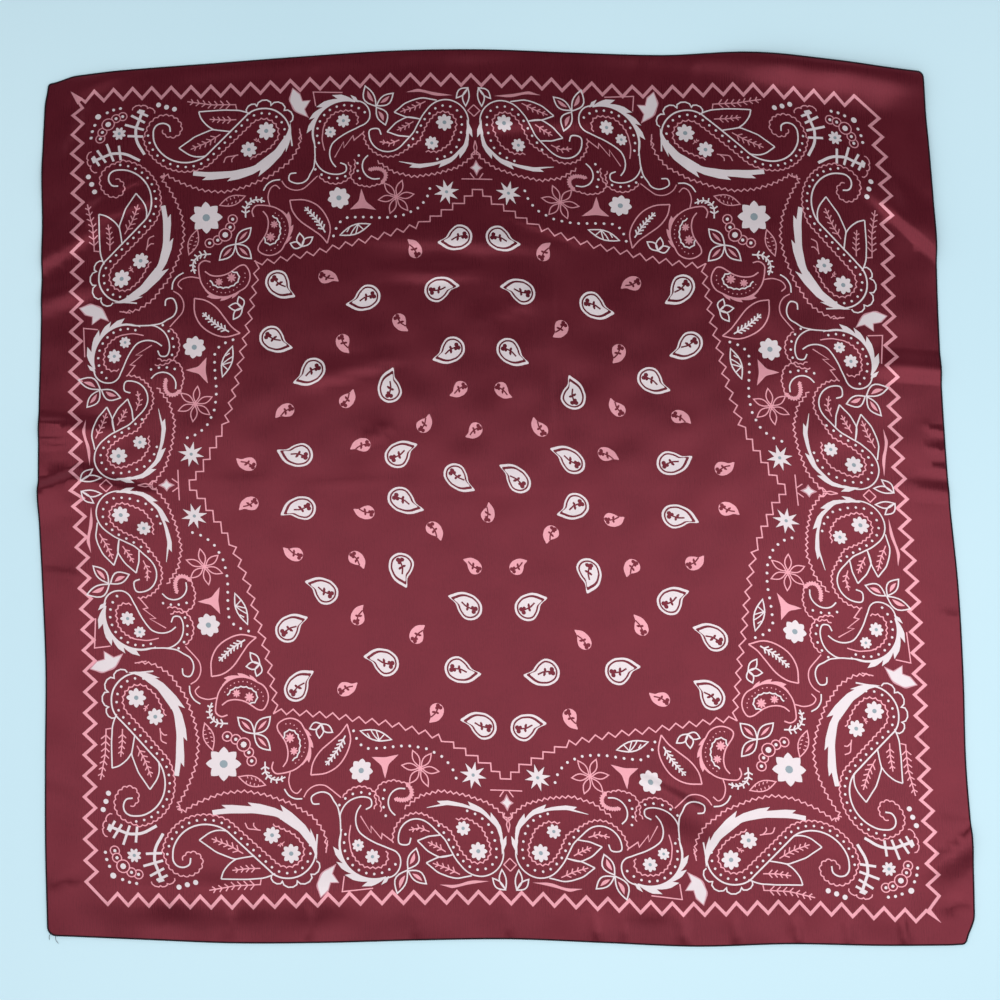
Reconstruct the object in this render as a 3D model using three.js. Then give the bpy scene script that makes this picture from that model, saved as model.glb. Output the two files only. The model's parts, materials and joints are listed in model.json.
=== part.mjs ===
// A square bandana laid out on a table: one satin panel with an overlocked edge on its four sides.
// Millimetres, +Z up, +Y to the far side. The panel rests on z = 0, and the origin is under its middle.

import * as THREE from 'three';

// Driving sizes.
const FINISHED_SIDE = 700;
const CLOTH_WALL = 1;
const HEM_WIDTH = 2.2;
const HEM_HEIGHT = 1.7;
const SEAM_GAP = 0.3;

// The four corners as they lie, before they are rounded by `round`.
const CORNERS = {
  bottomLeft: { x: -338.7, y: -339.1, round: 11 },
  bottomRight: { x: 357.8, y: -346.1, round: 14 },
  topLeft: { x: -356.7, y: 321.9, round: 6 },
  topRight: { x: 333.8, y: 328.9, round: 9 },
};

// How far each side bows outwards from the straight line between its corners, at even steps along it.
// Bottom and top run from left to right, left and right run from bottom to top.
const SIDE_BOWS = {
  bottom: [0, 2, 4, 3, 0.5, -1, 1, 3, 0.5, 1, 0],
  top: [0, 7, 12, 17, 21, 21.5, 18.5, 16, 17, 9.5, 0],
  left: [0, 1.5, 1.5, 1, 3.5, 6.5, 6, 4.2, 3.2, 3, 0],
  right: [0, 2.3, 1.3, 3.5, 3.8, 1.2, 0.5, 1.2, 2.5, 1.5, 0],
};

// The largest folds, each a soft ridge from one point to another. `near` is how far it reaches to the
// right of that direction and `far` how far to the left of it.
const FOLDS = [
  // The pucker where the square was folded in half, at the left side: two ridges with a valley between.
  { from: [-372, 38], to: [-268, 40], height: 5.5, near: 16, far: 26 },
  { from: [-372, 6], to: [-240, 4], height: 5, near: 34, far: 18 },
  { from: [-250, 12], to: [40, 14], height: 1.2, near: 16, far: 14 },
  // Ripples that run down from the top left corner.
  { from: [-372, 194], to: [-250, 240], height: 4.5, near: 22, far: 26 },
  { from: [-372, 160], to: [-296, 186], height: 3.5, near: 20, far: 18 },
  { from: [-348, 296], to: [-282, 332], height: 4, near: 18, far: 22 },
  // The top right corner stands a little off the table.
  { from: [215, 344], to: [350, 296], height: 6.5, near: 46, far: 40 },
  { from: [322, 300], to: [352, 180], height: 4.5, near: 30, far: 32 },
  { from: [294, 214], to: [340, 168], height: 4, near: 20, far: 20 },
  { from: [306, 106], to: [358, 102], height: 4, near: 17, far: 20 },
  { from: [312, -4], to: [362, -4], height: 3, near: 16, far: 16 },
  // Waves across the upper part.
  { from: [-95, 206], to: [20, 202], height: 2.6, near: 15, far: 20 },
  { from: [-100, 173], to: [24, 178], height: 3, near: 24, far: 15 },
  { from: [-40, 118], to: [26, 172], height: 3, near: 24, far: 22 },
  { from: [-46, 300], to: [80, 300], height: 3, near: 14, far: 18 },
  { from: [-20, 276], to: [90, 280], height: 2.6, near: 22, far: 15 },
  { from: [-152, 98], to: [-74, 118], height: 3, near: 16, far: 16 },
  { from: [-124, 44], to: [-74, 62], height: 2.8, near: 20, far: 18 },
  // Dents and swells of the lower part.
  { from: [108, -250], to: [190, -286], height: 4.5, near: 26, far: 26 },
  { from: [-276, -326], to: [-104, -326], height: 3.2, near: 18, far: 18 },
  { from: [-260, -294], to: [-196, -296], height: 2.8, near: 18, far: 18 },
  { from: [324, -280], to: [372, -286], height: 5, near: 30, far: 20 },
  { from: [80, -318], to: [150, -322], height: 2, near: 16, far: 14 },
];
const SEGMENT_TAPER = 0.3;

// Grid lines across the panel: three close ones at each corner, then even cells.
const CORNER_LINES = [0, 3, 7, 13];
const EVEN_CELLS = 38;

// The hem's section from its outer foot round to its inner foot: `in` is a share of its width measured
// inwards from the outline, `up` a share of its height.
const HEM_SECTION = [
  { in: 0.18, up: 0 },
  { in: 0, up: 0.34 },
  { in: 0.14, up: 0.86 },
  { in: 0.5, up: 1 },
  { in: 0.86, up: 0.86 },
  { in: 1, up: 0.34 },
  { in: 0.82, up: 0 },
];

const PANEL_INSET = HEM_WIDTH + SEAM_GAP;

function mix(a, b, share) {
  return a + (b - a) * share;
}

function mixPoints(a, b, share) {
  return { x: mix(a.x, b.x, share), y: mix(a.y, b.y, share) };
}

// A smooth curve through evenly spaced values, read at 0 to 1 along it.
function smoothRow(values, along) {
  const last = values.length - 1;
  const position = Math.min(Math.max(along, 0), 1) * last;
  const row = Math.min(Math.floor(position), last - 1);
  const before = values[Math.max(row - 1, 0)];
  const start = values[row];
  const end = values[row + 1];
  const after = values[Math.min(row + 2, last)];
  const t = position - row;
  const slopeStart = (end - before) / 2;
  const slopeEnd = (after - start) / 2;
  const rise = end - start;
  return start + t * (slopeStart + t * (3 * rise - 2 * slopeStart - slopeEnd
    + t * (slopeStart + slopeEnd - 2 * rise)));
}

// A point of one side: on the line between two corners, moved out by the side's bow.
function sidePoint(start, end, bows, outwards, along) {
  const length = Math.hypot(end.x - start.x, end.y - start.y);
  const normal = { x: (end.y - start.y) / length, y: -(end.x - start.x) / length };
  const bow = outwards * smoothRow(bows, along);
  const point = mixPoints(start, end, along);
  return { x: point.x + normal.x * bow, y: point.y + normal.y * bow };
}

// Rounds the square of the flat cloth, in millimetres from its lower left corner: near a corner each
// smaller square round the middle becomes an arc.
function roundCorner(across, up) {
  const right = across > FINISHED_SIDE / 2;
  const top = up > FINISHED_SIDE / 2;
  const corner = CORNERS[(top ? 'top' : 'bottom') + (right ? 'Right' : 'Left')];
  const fromSide = right ? FINISHED_SIDE - across : across;
  const fromEnd = top ? FINISHED_SIDE - up : up;
  const a = corner.round - fromSide;
  const b = corner.round - fromEnd;
  if (a <= 0 || b <= 0) {
    return { across, up };
  }
  const pull = Math.max(a, b) / Math.hypot(a, b);
  const newSide = corner.round - a * pull;
  const newEnd = corner.round - b * pull;
  return {
    across: right ? FINISHED_SIDE - newSide : newSide,
    up: top ? FINISHED_SIDE - newEnd : newEnd,
  };
}

// Where a point of the flat square lies on the table, blended between the four bowed sides.
function layOut(acrossFlat, upFlat) {
  const { across, up } = roundCorner(acrossFlat, upFlat);
  const u = across / FINISHED_SIDE;
  const v = up / FINISHED_SIDE;
  const { bottomLeft, bottomRight, topLeft, topRight } = CORNERS;
  const bottom = sidePoint(bottomLeft, bottomRight, SIDE_BOWS.bottom, 1, u);
  const top = sidePoint(topLeft, topRight, SIDE_BOWS.top, -1, u);
  const left = sidePoint(bottomLeft, topLeft, SIDE_BOWS.left, -1, v);
  const right = sidePoint(bottomRight, topRight, SIDE_BOWS.right, 1, v);
  const corners = mixPoints(mixPoints(bottomLeft, bottomRight, u), mixPoints(topLeft, topRight, u), v);
  const upwards = mixPoints(bottom, top, v);
  const sideways = mixPoints(left, right, u);
  return new THREE.Vector2(upwards.x + sideways.x - corners.x, upwards.y + sideways.y - corners.y);
}

// 1 at the middle of a bump, 0 at its rim and beyond, level at both.
function softBump(distance) {
  return distance < 1 ? 0.5 + 0.5 * Math.cos(Math.PI * distance) : 0;
}

// How high one fold lifts the cloth at a point of the table.
function foldLift(fold, point) {
  const start = new THREE.Vector2(...fold.from);
  const line = new THREE.Vector2(...fold.to).sub(start);
  const length = line.length();
  line.divideScalar(length);
  const offset = point.clone().sub(start);
  const along = offset.dot(line) / length;
  const side = offset.cross(line);
  const reach = side > 0 ? fold.near : fold.far;
  const past = Math.max(SEGMENT_TAPER - along, along - (1 - SEGMENT_TAPER), 0);
  return fold.height * softBump(Math.abs(side) / reach) * softBump(past / (2 * SEGMENT_TAPER));
}

// How high the cloth's underside is at a point: it lies flat on the table between the folds.
function lift(point) {
  return FOLDS.reduce((height, fold) => height + foldLift(fold, point), 0);
}

// Grid lines from one side of the flat cloth to the other, starting `inset` in from both.
function gridLines(inset) {
  const clear = FINISHED_SIDE / 2 - inset;
  const lines = CORNER_LINES.map((line) => line - clear);
  const evenStart = lines[lines.length - 1];
  for (let cell = 1; cell < EVEN_CELLS; cell += 1) {
    lines.push(mix(evenStart, -evenStart, cell / EVEN_CELLS));
  }
  const mirrored = CORNER_LINES.map((line) => clear - line).reverse();
  return [...lines, ...mirrored].map((line) => line + FINISHED_SIDE / 2);
}

function closedMesh(name, positions, faces, material) {
  const geometry = new THREE.BufferGeometry();
  geometry.setAttribute('position', new THREE.Float32BufferAttribute(positions, 3));
  geometry.setIndex(faces);
  geometry.computeVertexNormals();
  const mesh = new THREE.Mesh(geometry, material);
  mesh.name = name;
  return mesh;
}

// Two triangles for a square of four corners, given anticlockwise as seen from outside.
function quad(a, b, c, d) {
  return [a, b, c, a, c, d];
}

// The panel: an upper and a lower skin over the same grid, joined by a rim.
function clothPanel(material) {
  const lines = gridLines(PANEL_INSET);
  const count = lines.length;
  const positions = [];
  for (const wall of [0, CLOTH_WALL]) {
    for (const up of lines) {
      for (const across of lines) {
        const point = layOut(across, up);
        positions.push(point.x, point.y, lift(point) + wall);
      }
    }
  }
  const vertex = (skin, row, column) => (skin * count + row) * count + column;
  const faces = [];
  for (let row = 0; row < count - 1; row += 1) {
    for (let column = 0; column < count - 1; column += 1) {
      const ring = (skin) => [vertex(skin, row, column), vertex(skin, row, column + 1),
        vertex(skin, row + 1, column + 1), vertex(skin, row + 1, column)];
      faces.push(...quad(...ring(1)), ...quad(...ring(0).reverse()));
    }
  }
  const last = count - 1;
  for (let step = 0; step < last; step += 1) {
    const rims = [
      [[0, step], [0, step + 1]],
      [[step, last], [step + 1, last]],
      [[last, step + 1], [last, step]],
      [[step + 1, 0], [step, 0]],
    ];
    for (const [start, end] of rims) {
      faces.push(...quad(vertex(0, ...start), vertex(0, ...end), vertex(1, ...end), vertex(1, ...start)));
    }
  }
  return closedMesh('cloth_panel', positions, faces, material);
}

// One side's bead: its section swept along the side, with ends that meet the next beads on the diagonal.
function hemBead(name, placeOnSide, material) {
  const lines = gridLines(0);
  const positions = [];
  for (const line of lines) {
    const share = line / FINISHED_SIDE;
    for (const spot of HEM_SECTION) {
      const inset = spot.in * HEM_WIDTH;
      const along = mix(inset + SEAM_GAP, FINISHED_SIDE - inset - SEAM_GAP, share);
      const point = layOut(...placeOnSide(along, inset));
      positions.push(point.x, point.y, lift(point) + spot.up * HEM_HEIGHT);
    }
  }
  const size = HEM_SECTION.length;
  const faces = [];
  for (let step = 0; step < lines.length - 1; step += 1) {
    for (let spot = 0; spot < size; spot += 1) {
      const next = (spot + 1) % size;
      faces.push(...quad(step * size + spot, step * size + next,
        (step + 1) * size + next, (step + 1) * size + spot));
    }
  }
  const lastStart = (lines.length - 1) * size;
  for (let spot = 1; spot < size - 1; spot += 1) {
    faces.push(0, spot + 1, spot);
    faces.push(lastStart, lastStart + spot, lastStart + spot + 1);
  }
  return closedMesh(name, positions, faces, material);
}

const satin = new THREE.MeshStandardMaterial({ color: 0x6b2733, roughness: 0.45, metalness: 0 });
const edgeThread = new THREE.MeshStandardMaterial({ color: 0x17141c, roughness: 0.7, metalness: 0 });

const far = FINISHED_SIDE;
const bandana = new THREE.Group();
bandana.add(
  clothPanel(satin),
  hemBead('hem_bottom', (along, inset) => [far - along, inset], edgeThread),
  hemBead('hem_right', (along, inset) => [far - inset, far - along], edgeThread),
  hemBead('hem_top', (along, inset) => [along, far - inset], edgeThread),
  hemBead('hem_left', (along, inset) => [inset, along], edgeThread),
);

export default bandana;
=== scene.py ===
import json

import bpy
import numpy as np
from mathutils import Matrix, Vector
from mathutils.geometry import delaunay_2d_cdt

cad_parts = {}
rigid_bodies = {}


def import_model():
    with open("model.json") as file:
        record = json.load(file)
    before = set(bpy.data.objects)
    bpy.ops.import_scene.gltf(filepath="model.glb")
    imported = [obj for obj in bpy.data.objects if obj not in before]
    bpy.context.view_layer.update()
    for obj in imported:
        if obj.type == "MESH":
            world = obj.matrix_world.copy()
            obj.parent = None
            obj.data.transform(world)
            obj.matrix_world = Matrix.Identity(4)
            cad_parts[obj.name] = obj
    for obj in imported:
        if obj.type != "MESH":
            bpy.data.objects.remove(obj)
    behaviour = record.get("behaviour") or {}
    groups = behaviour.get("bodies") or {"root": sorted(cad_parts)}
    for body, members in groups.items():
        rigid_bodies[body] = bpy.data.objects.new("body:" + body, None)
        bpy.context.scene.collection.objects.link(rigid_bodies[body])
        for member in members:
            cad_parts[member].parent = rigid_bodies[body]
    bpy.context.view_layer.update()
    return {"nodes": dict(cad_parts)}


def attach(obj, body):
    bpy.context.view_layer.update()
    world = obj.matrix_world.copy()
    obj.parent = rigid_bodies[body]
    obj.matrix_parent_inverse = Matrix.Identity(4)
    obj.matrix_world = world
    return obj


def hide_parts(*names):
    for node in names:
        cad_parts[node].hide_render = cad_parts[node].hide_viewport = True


# %% [markdown]
# A square bandana of thin satin, laid out on a table and seen from almost straight above. The cloth is
# printed with paisleys in white and rose on burgundy and has a dark overlocked edge. The scene loads the
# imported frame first, so that every piece is made in the same space, in metres, on the same table.

# %% The frame
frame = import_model()
bpy.ops.object.select_all(action="DESELECT")
print("frame nodes:", ", ".join(sorted(frame["nodes"])))

# %% [markdown]
# A square cloth never lies as a perfect square. The four corners and the bow of each side say where it
# lies, and every point of the flat cloth is blended between its four sides. Two corners were pushed in a
# little when the cloth was laid down, so they get a soft tuck as well. All of this is in millimetres, with
# the flat cloth measured from its middle, and the corners and bows are those of the frame's solids.

# %% How the square lies
MM = 0.001
SIDE = 700.0
CORNERS = {
    "bottom left": ((-338.7, -339.1), 7),
    "bottom right": ((357.8, -346.1), 4),
    "top left": ((-356.7, 321.9), 3),
    "top right": ((333.2, 326.2), 5),
}
TUCKS = [
    # (corner, how far it is pushed along x and y, how far round it that reaches)
    ("bottom right", (-6.5, 0.5), 23),
    ("top left", (1.8, -4.2), 26),
]
BOWS = {
    "bottom": [0, 2, 4, 3, 0.5, -1, 1, 3, 0.5, 1, 0],
    "top": [0, 7, 12, 17, 21, 21.5, 18.5, 16, 17, 9.5, 0],
    "left": [0, 1.5, 1.5, 1, 3.5, 6.5, 6, 4.2, 3.2, 3, 0],
    "right": [0, 2.3, 1.3, 3.5, 3.8, 1.2, 0.5, 1.2, 2.5, 1.5, 0],
}


def smooth_row(values, along):
    """A smooth curve through evenly spaced values, read at 0 to 1 along it."""
    values = np.array(values, float)
    last = len(values) - 1
    position = np.clip(along, 0, 1) * last
    row = np.minimum(position.astype(int), last - 1)
    before, start = values[np.maximum(row - 1, 0)], values[row]
    end, after = values[row + 1], values[np.minimum(row + 2, last)]
    t = position - row
    first, second, rise = (end - before) / 2, (after - start) / 2, end - start
    return start + t * (first + t * (3 * rise - 2 * first - second + t * (first + second - 2 * rise)))


def side_point(start, end, bows, outwards, along):
    """Points of one side: on the line between two corners, moved out by the side's bow."""
    start, end = np.array(start), np.array(end)
    normal = np.array([end[1] - start[1], start[0] - end[0]]) / np.hypot(*(end - start))
    bow = outwards * smooth_row(bows, along)
    return start + (end - start) * along[:, None] + normal * bow[:, None]


def round_corners(flat):
    """Near a corner each smaller square round the middle becomes an arc."""
    flat = flat.copy()
    for sign_x, sign_y, name in (
        (-1, -1, "bottom left"), (1, -1, "bottom right"), (-1, 1, "top left"), (1, 1, "top right"),
    ):
        radius = CORNERS[name][1]
        a = radius - SIDE / 2 + sign_x * flat[:, 0]
        b = radius - SIDE / 2 + sign_y * flat[:, 1]
        near = (a > 0) & (b > 0)
        pull = np.maximum(a[near], b[near]) / np.hypot(a[near], b[near])
        flat[near, 0] = sign_x * (SIDE / 2 - radius + a[near] * pull)
        flat[near, 1] = sign_y * (SIDE / 2 - radius + b[near] * pull)
    return flat


def soft_bump(distance):
    """1 at the middle of a bump, 0 at its rim and beyond, level at both."""
    return np.where(distance < 1, 0.5 + 0.5 * np.cos(np.pi * np.minimum(distance, 1)), 0)


def lay_out(flat):
    """Where points of the flat cloth lie on the table. Two corners are pushed in a little."""
    u, v = (round_corners(flat) / SIDE + 0.5).T
    low_left, low_right, top_left, top_right = (np.array(place) for place, _ in CORNERS.values())
    bottom = side_point(low_left, low_right, BOWS["bottom"], 1, u)
    top = side_point(top_left, top_right, BOWS["top"], -1, u)
    left = side_point(low_left, top_left, BOWS["left"], -1, v)
    right = side_point(low_right, top_right, BOWS["right"], 1, v)
    u, v = u[:, None], v[:, None]
    level = (low_left * (1 - u) + low_right * u) * (1 - v) + (top_left * (1 - u) + top_right * u) * v
    laid = bottom * (1 - v) + top * v + left * (1 - u) + right * u - level
    for corner, push, reach in TUCKS:
        distance = np.hypot(*(laid - CORNERS[corner][0]).T)
        laid = laid + soft_bump(distance / reach)[:, None] * np.array(push)
    return laid


span = lay_out(np.array([(-350.0, 0.0), (350.0, 0.0), (0.0, -350.0), (0.0, 350.0)]))
print("the cloth spans", np.round(span[1, 0] - span[0, 0]), "by", np.round(span[3, 1] - span[2, 1]), "mm")

# %% [markdown]
# Satin shows every fold, because its gloss changes with its slope. The cloth was folded flat in a packet, so
# it has long straight creases, a pucker at the left where four layers were folded, ripples at the corners
# and soft waves where it was smoothed by hand. Each fold is a soft ridge along a line: how high it is, how
# far it reaches to the right and to the left of that line. It fades at both ends. A short reach makes a
# steep, sharp side. The frame's solids carry the large folds too, a little higher and plainer; the fine
# ones are only here. They are kept as a list of lines, so that one fold can be moved without the others.
#
# Between the folds the cloth isn't quite flat either: low swells of many lengths cross it. Both the fine
# folds and the swells die out at the cut edge, which its stitching holds down on the table.

# %% The folds
TAPER = 0.3
LARGE_FOLDS = [
    # (from x, y), (to x, y), height, reach to the right, reach to the left
    # The pucker at the left: a steep crease that bends, and a low ridge beyond it.
    ((-374, -12), (-320, 8), 3.4, 26, 9),
    ((-336, 8), (-272, -6), 2.0, 24, 8),
    ((-372, 46), (-300, 42), 1.6, 14, 14),
    # Folds that run in from the left, right and upper edges.
    ((-374, 166), (-308, 208), 1.8, 13, 26),
    ((-378, 236), (-306, 264), 1.5, 34, 24),
    ((-330, 206), (-262, 230), 1.0, 10, 14),
    ((-372, 140), (-310, 160), 1.2, 16, 14),
    ((-350, 300), (-290, 336), 0.9, 13, 18),
    ((184, 344), (352, 318), 5.2, 38, 40),
    ((322, 300), (352, 180), 3.4, 26, 30),
    ((292, 232), (352, 176), 2.6, 11, 26),
    ((298, 93), (366, 88), 2.2, 13, 16),
    ((318, -2), (366, -8), 1.0, 10, 10),
    # Soft waves in the middle, where the cloth was smoothed by hand.
    ((-30, 288), (84, 290), 1.7, 15, 18),
    ((-106, 284), (-52, 278), 1.4, 18, 16),
    ((-104, 196), (34, 190), 1.0, 14, 28),
    ((-88, 168), (-14, 168), 0.9, 13, 9),
    ((-146, 82), (-78, 100), 0.7, 10, 14),
    # The dents near the lower edge.
    ((102, -222), (164, -254), 2.2, 30, 11),
    ((-306, -312), (-100, -312), 1.2, 24, 10),
    ((-262, -286), (-206, -286), 0.8, 20, 12),
    ((326, -290), (366, -258), 2.4, 22, 10),
]
FINE_FOLDS = [
    # The straight creases from the packet.
    ((-210, 4), (90, 0), 0.12, 8, 5),
    ((-180, -104), (110, -108), 0.1, 6, 14),
    ((-180, -166), (-30, -168), 0.1, 6, 12),
    ((42, 180), (40, 40), 0.4, 9, 4),
    ((-96, -50), (-92, -204), 0.35, 8, 4),
    ((150, 300), (146, 240), 0.5, 9, 6),
    # The cloth rises a little to its upper hem.
    ((-352, 318), (-170, 336), 1.0, 18, 10),
    ((-230, 332), (-10, 348), 1.1, 18, 10),
    ((-70, 348), (170, 342), 1.2, 18, 10),
    ((110, 344), (334, 322), 1.2, 20, 10),
    # Short puckers along the lower edge, where the overlocking draws the cloth in.
    ((70, -322), (74, -340), 0.6, 6, 6),
    ((92, -322), (94, -341), 0.5, 6, 6),
    ((136, -324), (140, -344), 0.7, 7, 6),
    ((176, -325), (178, -344), 0.6, 6, 7),
    ((222, -326), (226, -345), 0.8, 7, 6),
    ((262, -326), (263, -346), 0.6, 6, 6),
    ((302, -326), (306, -346), 0.7, 6, 6),
    ((-200, -322), (-203, -341), 0.6, 7, 6),
    ((-140, -322), (-142, -341), 0.6, 6, 7),
    ((-60, -322), (-60, -340), 0.6, 6, 6),
    ((8, -320), (8, -338), 0.5, 6, 6),
    # Ripples beside the left and right edges.
    ((-366, 50), (-334, 48), 0.9, 5, 5),
    ((-366, 36), (-328, 33), 0.9, 5, 5),
    ((-352, -66), (-318, -72), 0.5, 9, 8),
    ((-350, -218), (-316, -230), 0.5, 12, 8),
    ((-340, -300), (-316, -292), 0.6, 10, 10),
    ((332, 44), (366, 38), 0.7, 5, 5),
    ((334, 28), (368, 24), 0.8, 5, 5),
    ((330, 14), (368, 10), 0.7, 6, 5),
    ((336, -100), (368, -103), 0.6, 8, 6),
    ((334, -246), (366, -250), 0.5, 9, 6),
    ((312, -180), (318, -226), 0.7, 8, 12),
    # The dent of the lower right and the crease beside it.
    ((116, -206), (152, -214), 0.5, 10, 7),
    ((90, -318), (130, -322), 0.5, 14, 7),
    ((334, -318), (352, -312), 0.5, 8, 8),
    # The upper part, smoothed by hand.
    ((-336, 262), (-318, 298), 0.9, 7, 9),
    ((-300, 232), (-276, 244), 0.8, 7, 8),
    ((-318, 216), (-306, 226), 0.8, 8, 8),
    ((-80, 320), (-76, 344), 0.7, 8, 8),
    ((-150, 318), (-146, 338), 0.8, 8, 9),
    ((150, 312), (152, 338), 0.8, 9, 8),
    ((112, 300), (114, 336), 0.8, 8, 8),
    ((4, 214), (66, 192), 0.8, 8, 14),
    ((-104, 34), (-84, 46), 0.4, 8, 9),
    ((-20, 130), (30, 146), 0.35, 10, 14),
]
SWELLS = 16
SWELL_HEIGHT = 0.05
rng = np.random.default_rng(12)
swell_long = rng.uniform(28, 90, SWELLS)
swell_way = rng.uniform(0, np.pi, SWELLS)
swell_start = rng.uniform(0, 2 * np.pi, SWELLS)


def folds_at(points, folds):
    """How high a list of folds lifts the cloth at points of the table."""
    height = np.zeros(len(points))
    for start, end, rise, right, left in folds:
        line = np.subtract(end, start).astype(float)
        length = np.hypot(*line)
        line /= length
        offset_x, offset_y = points[:, 0] - start[0], points[:, 1] - start[1]
        along = (offset_x * line[0] + offset_y * line[1]) / length
        side = offset_x * line[1] - offset_y * line[0]
        past = np.maximum(np.maximum(TAPER - along, along - (1 - TAPER)), 0)
        reach = np.where(side > 0, right, left)
        height += rise * soft_bump(np.abs(side) / reach) * soft_bump(past / (2 * TAPER))
    return height


def under_at(points):
    """The cloth's underside: flat on the table between the large folds."""
    return folds_at(points, LARGE_FOLDS)


CLOTH_THICK = 0.45
HELD_STRIP = 7


def swells_at(points):
    """Low waves of many lengths and ways, as left in any cloth that isn't ironed."""
    height = np.full(len(points), 0.25)
    for long, way, start in zip(swell_long, swell_way, swell_start):
        along = points[:, 0] * np.cos(way) + points[:, 1] * np.sin(way)
        height += SWELL_HEIGHT * np.sin(2 * np.pi * along / long + start)
    return np.maximum(height, -0.15)


def off_edge(flat):
    """0 at the cut edge and 1 a few millimetres in, because the stitched edge holds the cloth down."""
    return np.clip((SIDE / 2 - np.abs(flat).max(axis=1)) / HELD_STRIP, 0, 1)


def top_at(points, loose=1.0):
    """The cloth's face, with the fine folds and the swells where it is loose."""
    return under_at(points) + (folds_at(points, FINE_FOLDS) + swells_at(points)) * loose + CLOTH_THICK


print("folds:", len(LARGE_FOLDS), "large and", len(FINE_FOLDS), "fine")


# %% [markdown]
# The print comes first, because every ink edge on the cloth will be a real edge of the mesh. The real cloth
# is printed by screens: one ink for each colour, with clean edges. The drawing is therefore made as flat
# outlines, in millimetres from the middle of the print, with x to the right and y to the far side. A pen
# line is a soft curve through a few points that gets a width, so that a few small tools draw every motif.

# %% Pens
GROUND, ROSE, WHITE, GREY, BLUSH = range(5)
INK_NAMES = ("burgundy ground", "rose ink", "white ink", "grey ink", "blurred ink")
FINE, THIN, FIRM, BOLD = 0.9, 1.05, 1.2, 2.35
MITRE_LIMIT = 0.9


def smooth(points, steps=5, closed=False):
    """A soft curve through a few points."""
    spots = np.array(points, float)
    if closed:
        spots = np.vstack([spots[-1:], spots, spots[:2]])
    else:
        spots = np.vstack([2 * spots[:1] - spots[1:2], spots, 2 * spots[-1:] - spots[-2:-1]])
    t = np.linspace(0, 1, steps, endpoint=False)[:, None]
    pieces = []
    for before, start, end, after in zip(spots, spots[1:], spots[2:], spots[3:]):
        bend = 2 * before - 5 * start + 4 * end - after
        twist = 3 * start - before - 3 * end + after
        pieces.append(start + t * ((end - before) + t * (bend + t * twist)) / 2)
    if not closed:
        pieces.append(spots[-2:-1])
    return np.vstack(pieces)


def arc(x, y, radius, start, end, steps=14, end_radius=None):
    """Part of a circle, or of a spiral when it ends at another radius. Angles are in degrees."""
    share = np.linspace(0, 1, steps)
    reach = radius + ((end_radius or radius) - radius) * share
    angle = np.radians(start + (end - start) * share)
    return np.stack([x + reach * np.cos(angle), y + reach * np.sin(angle)], axis=1)


def disc(x, y, radius, sides=12):
    return arc(x, y, radius, 0, 360 - 360 / sides, sides)


def normals(path, closed=False):
    """The left-hand side of a path at each point, longer at a corner so that a line keeps its width."""
    ahead = np.roll(path, -1, axis=0) - path
    if not closed:
        ahead[-1] = ahead[-2]
    ahead /= np.maximum(np.hypot(*ahead.T), 1e-9)[:, None]
    behind = np.roll(ahead, 1, axis=0)
    if not closed:
        behind[0] = ahead[0]
    both = np.stack([-(ahead + behind)[:, 1], (ahead + behind)[:, 0]], axis=1)
    return 2 * both / np.maximum((both ** 2).sum(axis=1), MITRE_LIMIT)[:, None]


def offset(path, distance, closed=False):
    return path + normals(path, closed) * np.reshape(distance, (-1, 1))


def ribbon(path, width, closed=False):
    """The outline of a pen line along a path. The width may be a list, one for each point."""
    half = normals(path, closed) * np.reshape(width, (-1, 1)) / 2
    left, right = path + half, path - half
    if closed:
        left, right = np.vstack([left, left[:1]]), np.vstack([right, right[:1]])
    return np.vstack([left, right[::-1]])


def length_of(path):
    return float(np.hypot(*np.diff(path, axis=0).T).sum())


def resample(path, count):
    """Evenly spaced points along a path."""
    walked = np.concatenate([[0], np.cumsum(np.hypot(*np.diff(path, axis=0).T))])
    stops = np.linspace(0, walked[-1], count)
    return np.stack([np.interp(stops, walked, path[:, axis]) for axis in (0, 1)], axis=1)


def scalloped(path, pitch, depth):
    """A row of small bumps that stand to the left of a path."""
    bumps = max(round(length_of(path) / pitch), 1)
    even = resample(path, 4 * bumps + 1)
    return offset(even, depth * np.abs(np.sin(np.linspace(0, bumps * np.pi, len(even)))))


def toothed(path, pitch, depth):
    """A small zigzag that swings to both sides of a path."""
    teeth = max(round(length_of(path) / pitch), 1)
    even = resample(path, 2 * teeth + 1)
    return offset(even, depth / 2 * (-1.0) ** np.arange(len(even)))


def fair(*pieces, spacing=1.7):
    """One soft curve through arcs and points that follow each other, as drawn with a compass."""
    path = np.vstack([np.array(piece, float).reshape(-1, 2) for piece in pieces])
    knots = resample(path, max(round(length_of(path) / (3 * spacing)), 3) + 1)
    return smooth(knots, 3)


def lobes(corners, bulge, steps=5):
    """Round bumps between the corners, each standing to the left of its way by a share of its length."""
    corners = np.array(corners, float)
    turn = np.linspace(0, np.pi, steps, endpoint=False)[:, None]
    bumps = []
    for start, end in zip(corners, corners[1:]):
        way = end - start
        left = np.array([-way[1], way[0]])
        bumps.append((start + end) / 2 - np.cos(turn) * way / 2 * 1.06 + np.sin(turn) * left * bulge)
    return np.vstack(bumps + [corners[-1:]])


class Block:
    """A hand-cut printing block: outlines, each with its ink, in the order in which they are printed."""

    def __init__(self):
        self.marks = []

    def fill(self, ink, outline):
        self.marks.append((ink, np.array(outline, float)))

    def line(self, ink, path, width=THIN, closed=False):
        self.fill(ink, ribbon(np.array(path, float), width, closed))

    def dots(self, ink, path, pitch, radius):
        for x, y in resample(path, max(round(length_of(path) / pitch), 1) + 1):
            self.fill(ink, disc(x, y, radius, 8))

    def stamped(self, turns):
        """The block's marks, printed once for each turn or mirror."""
        return [(ink, outline @ np.array(turn).T) for turn in turns for ink, outline in self.marks]


print("pens ready for", ", ".join(INK_NAMES))

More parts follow.
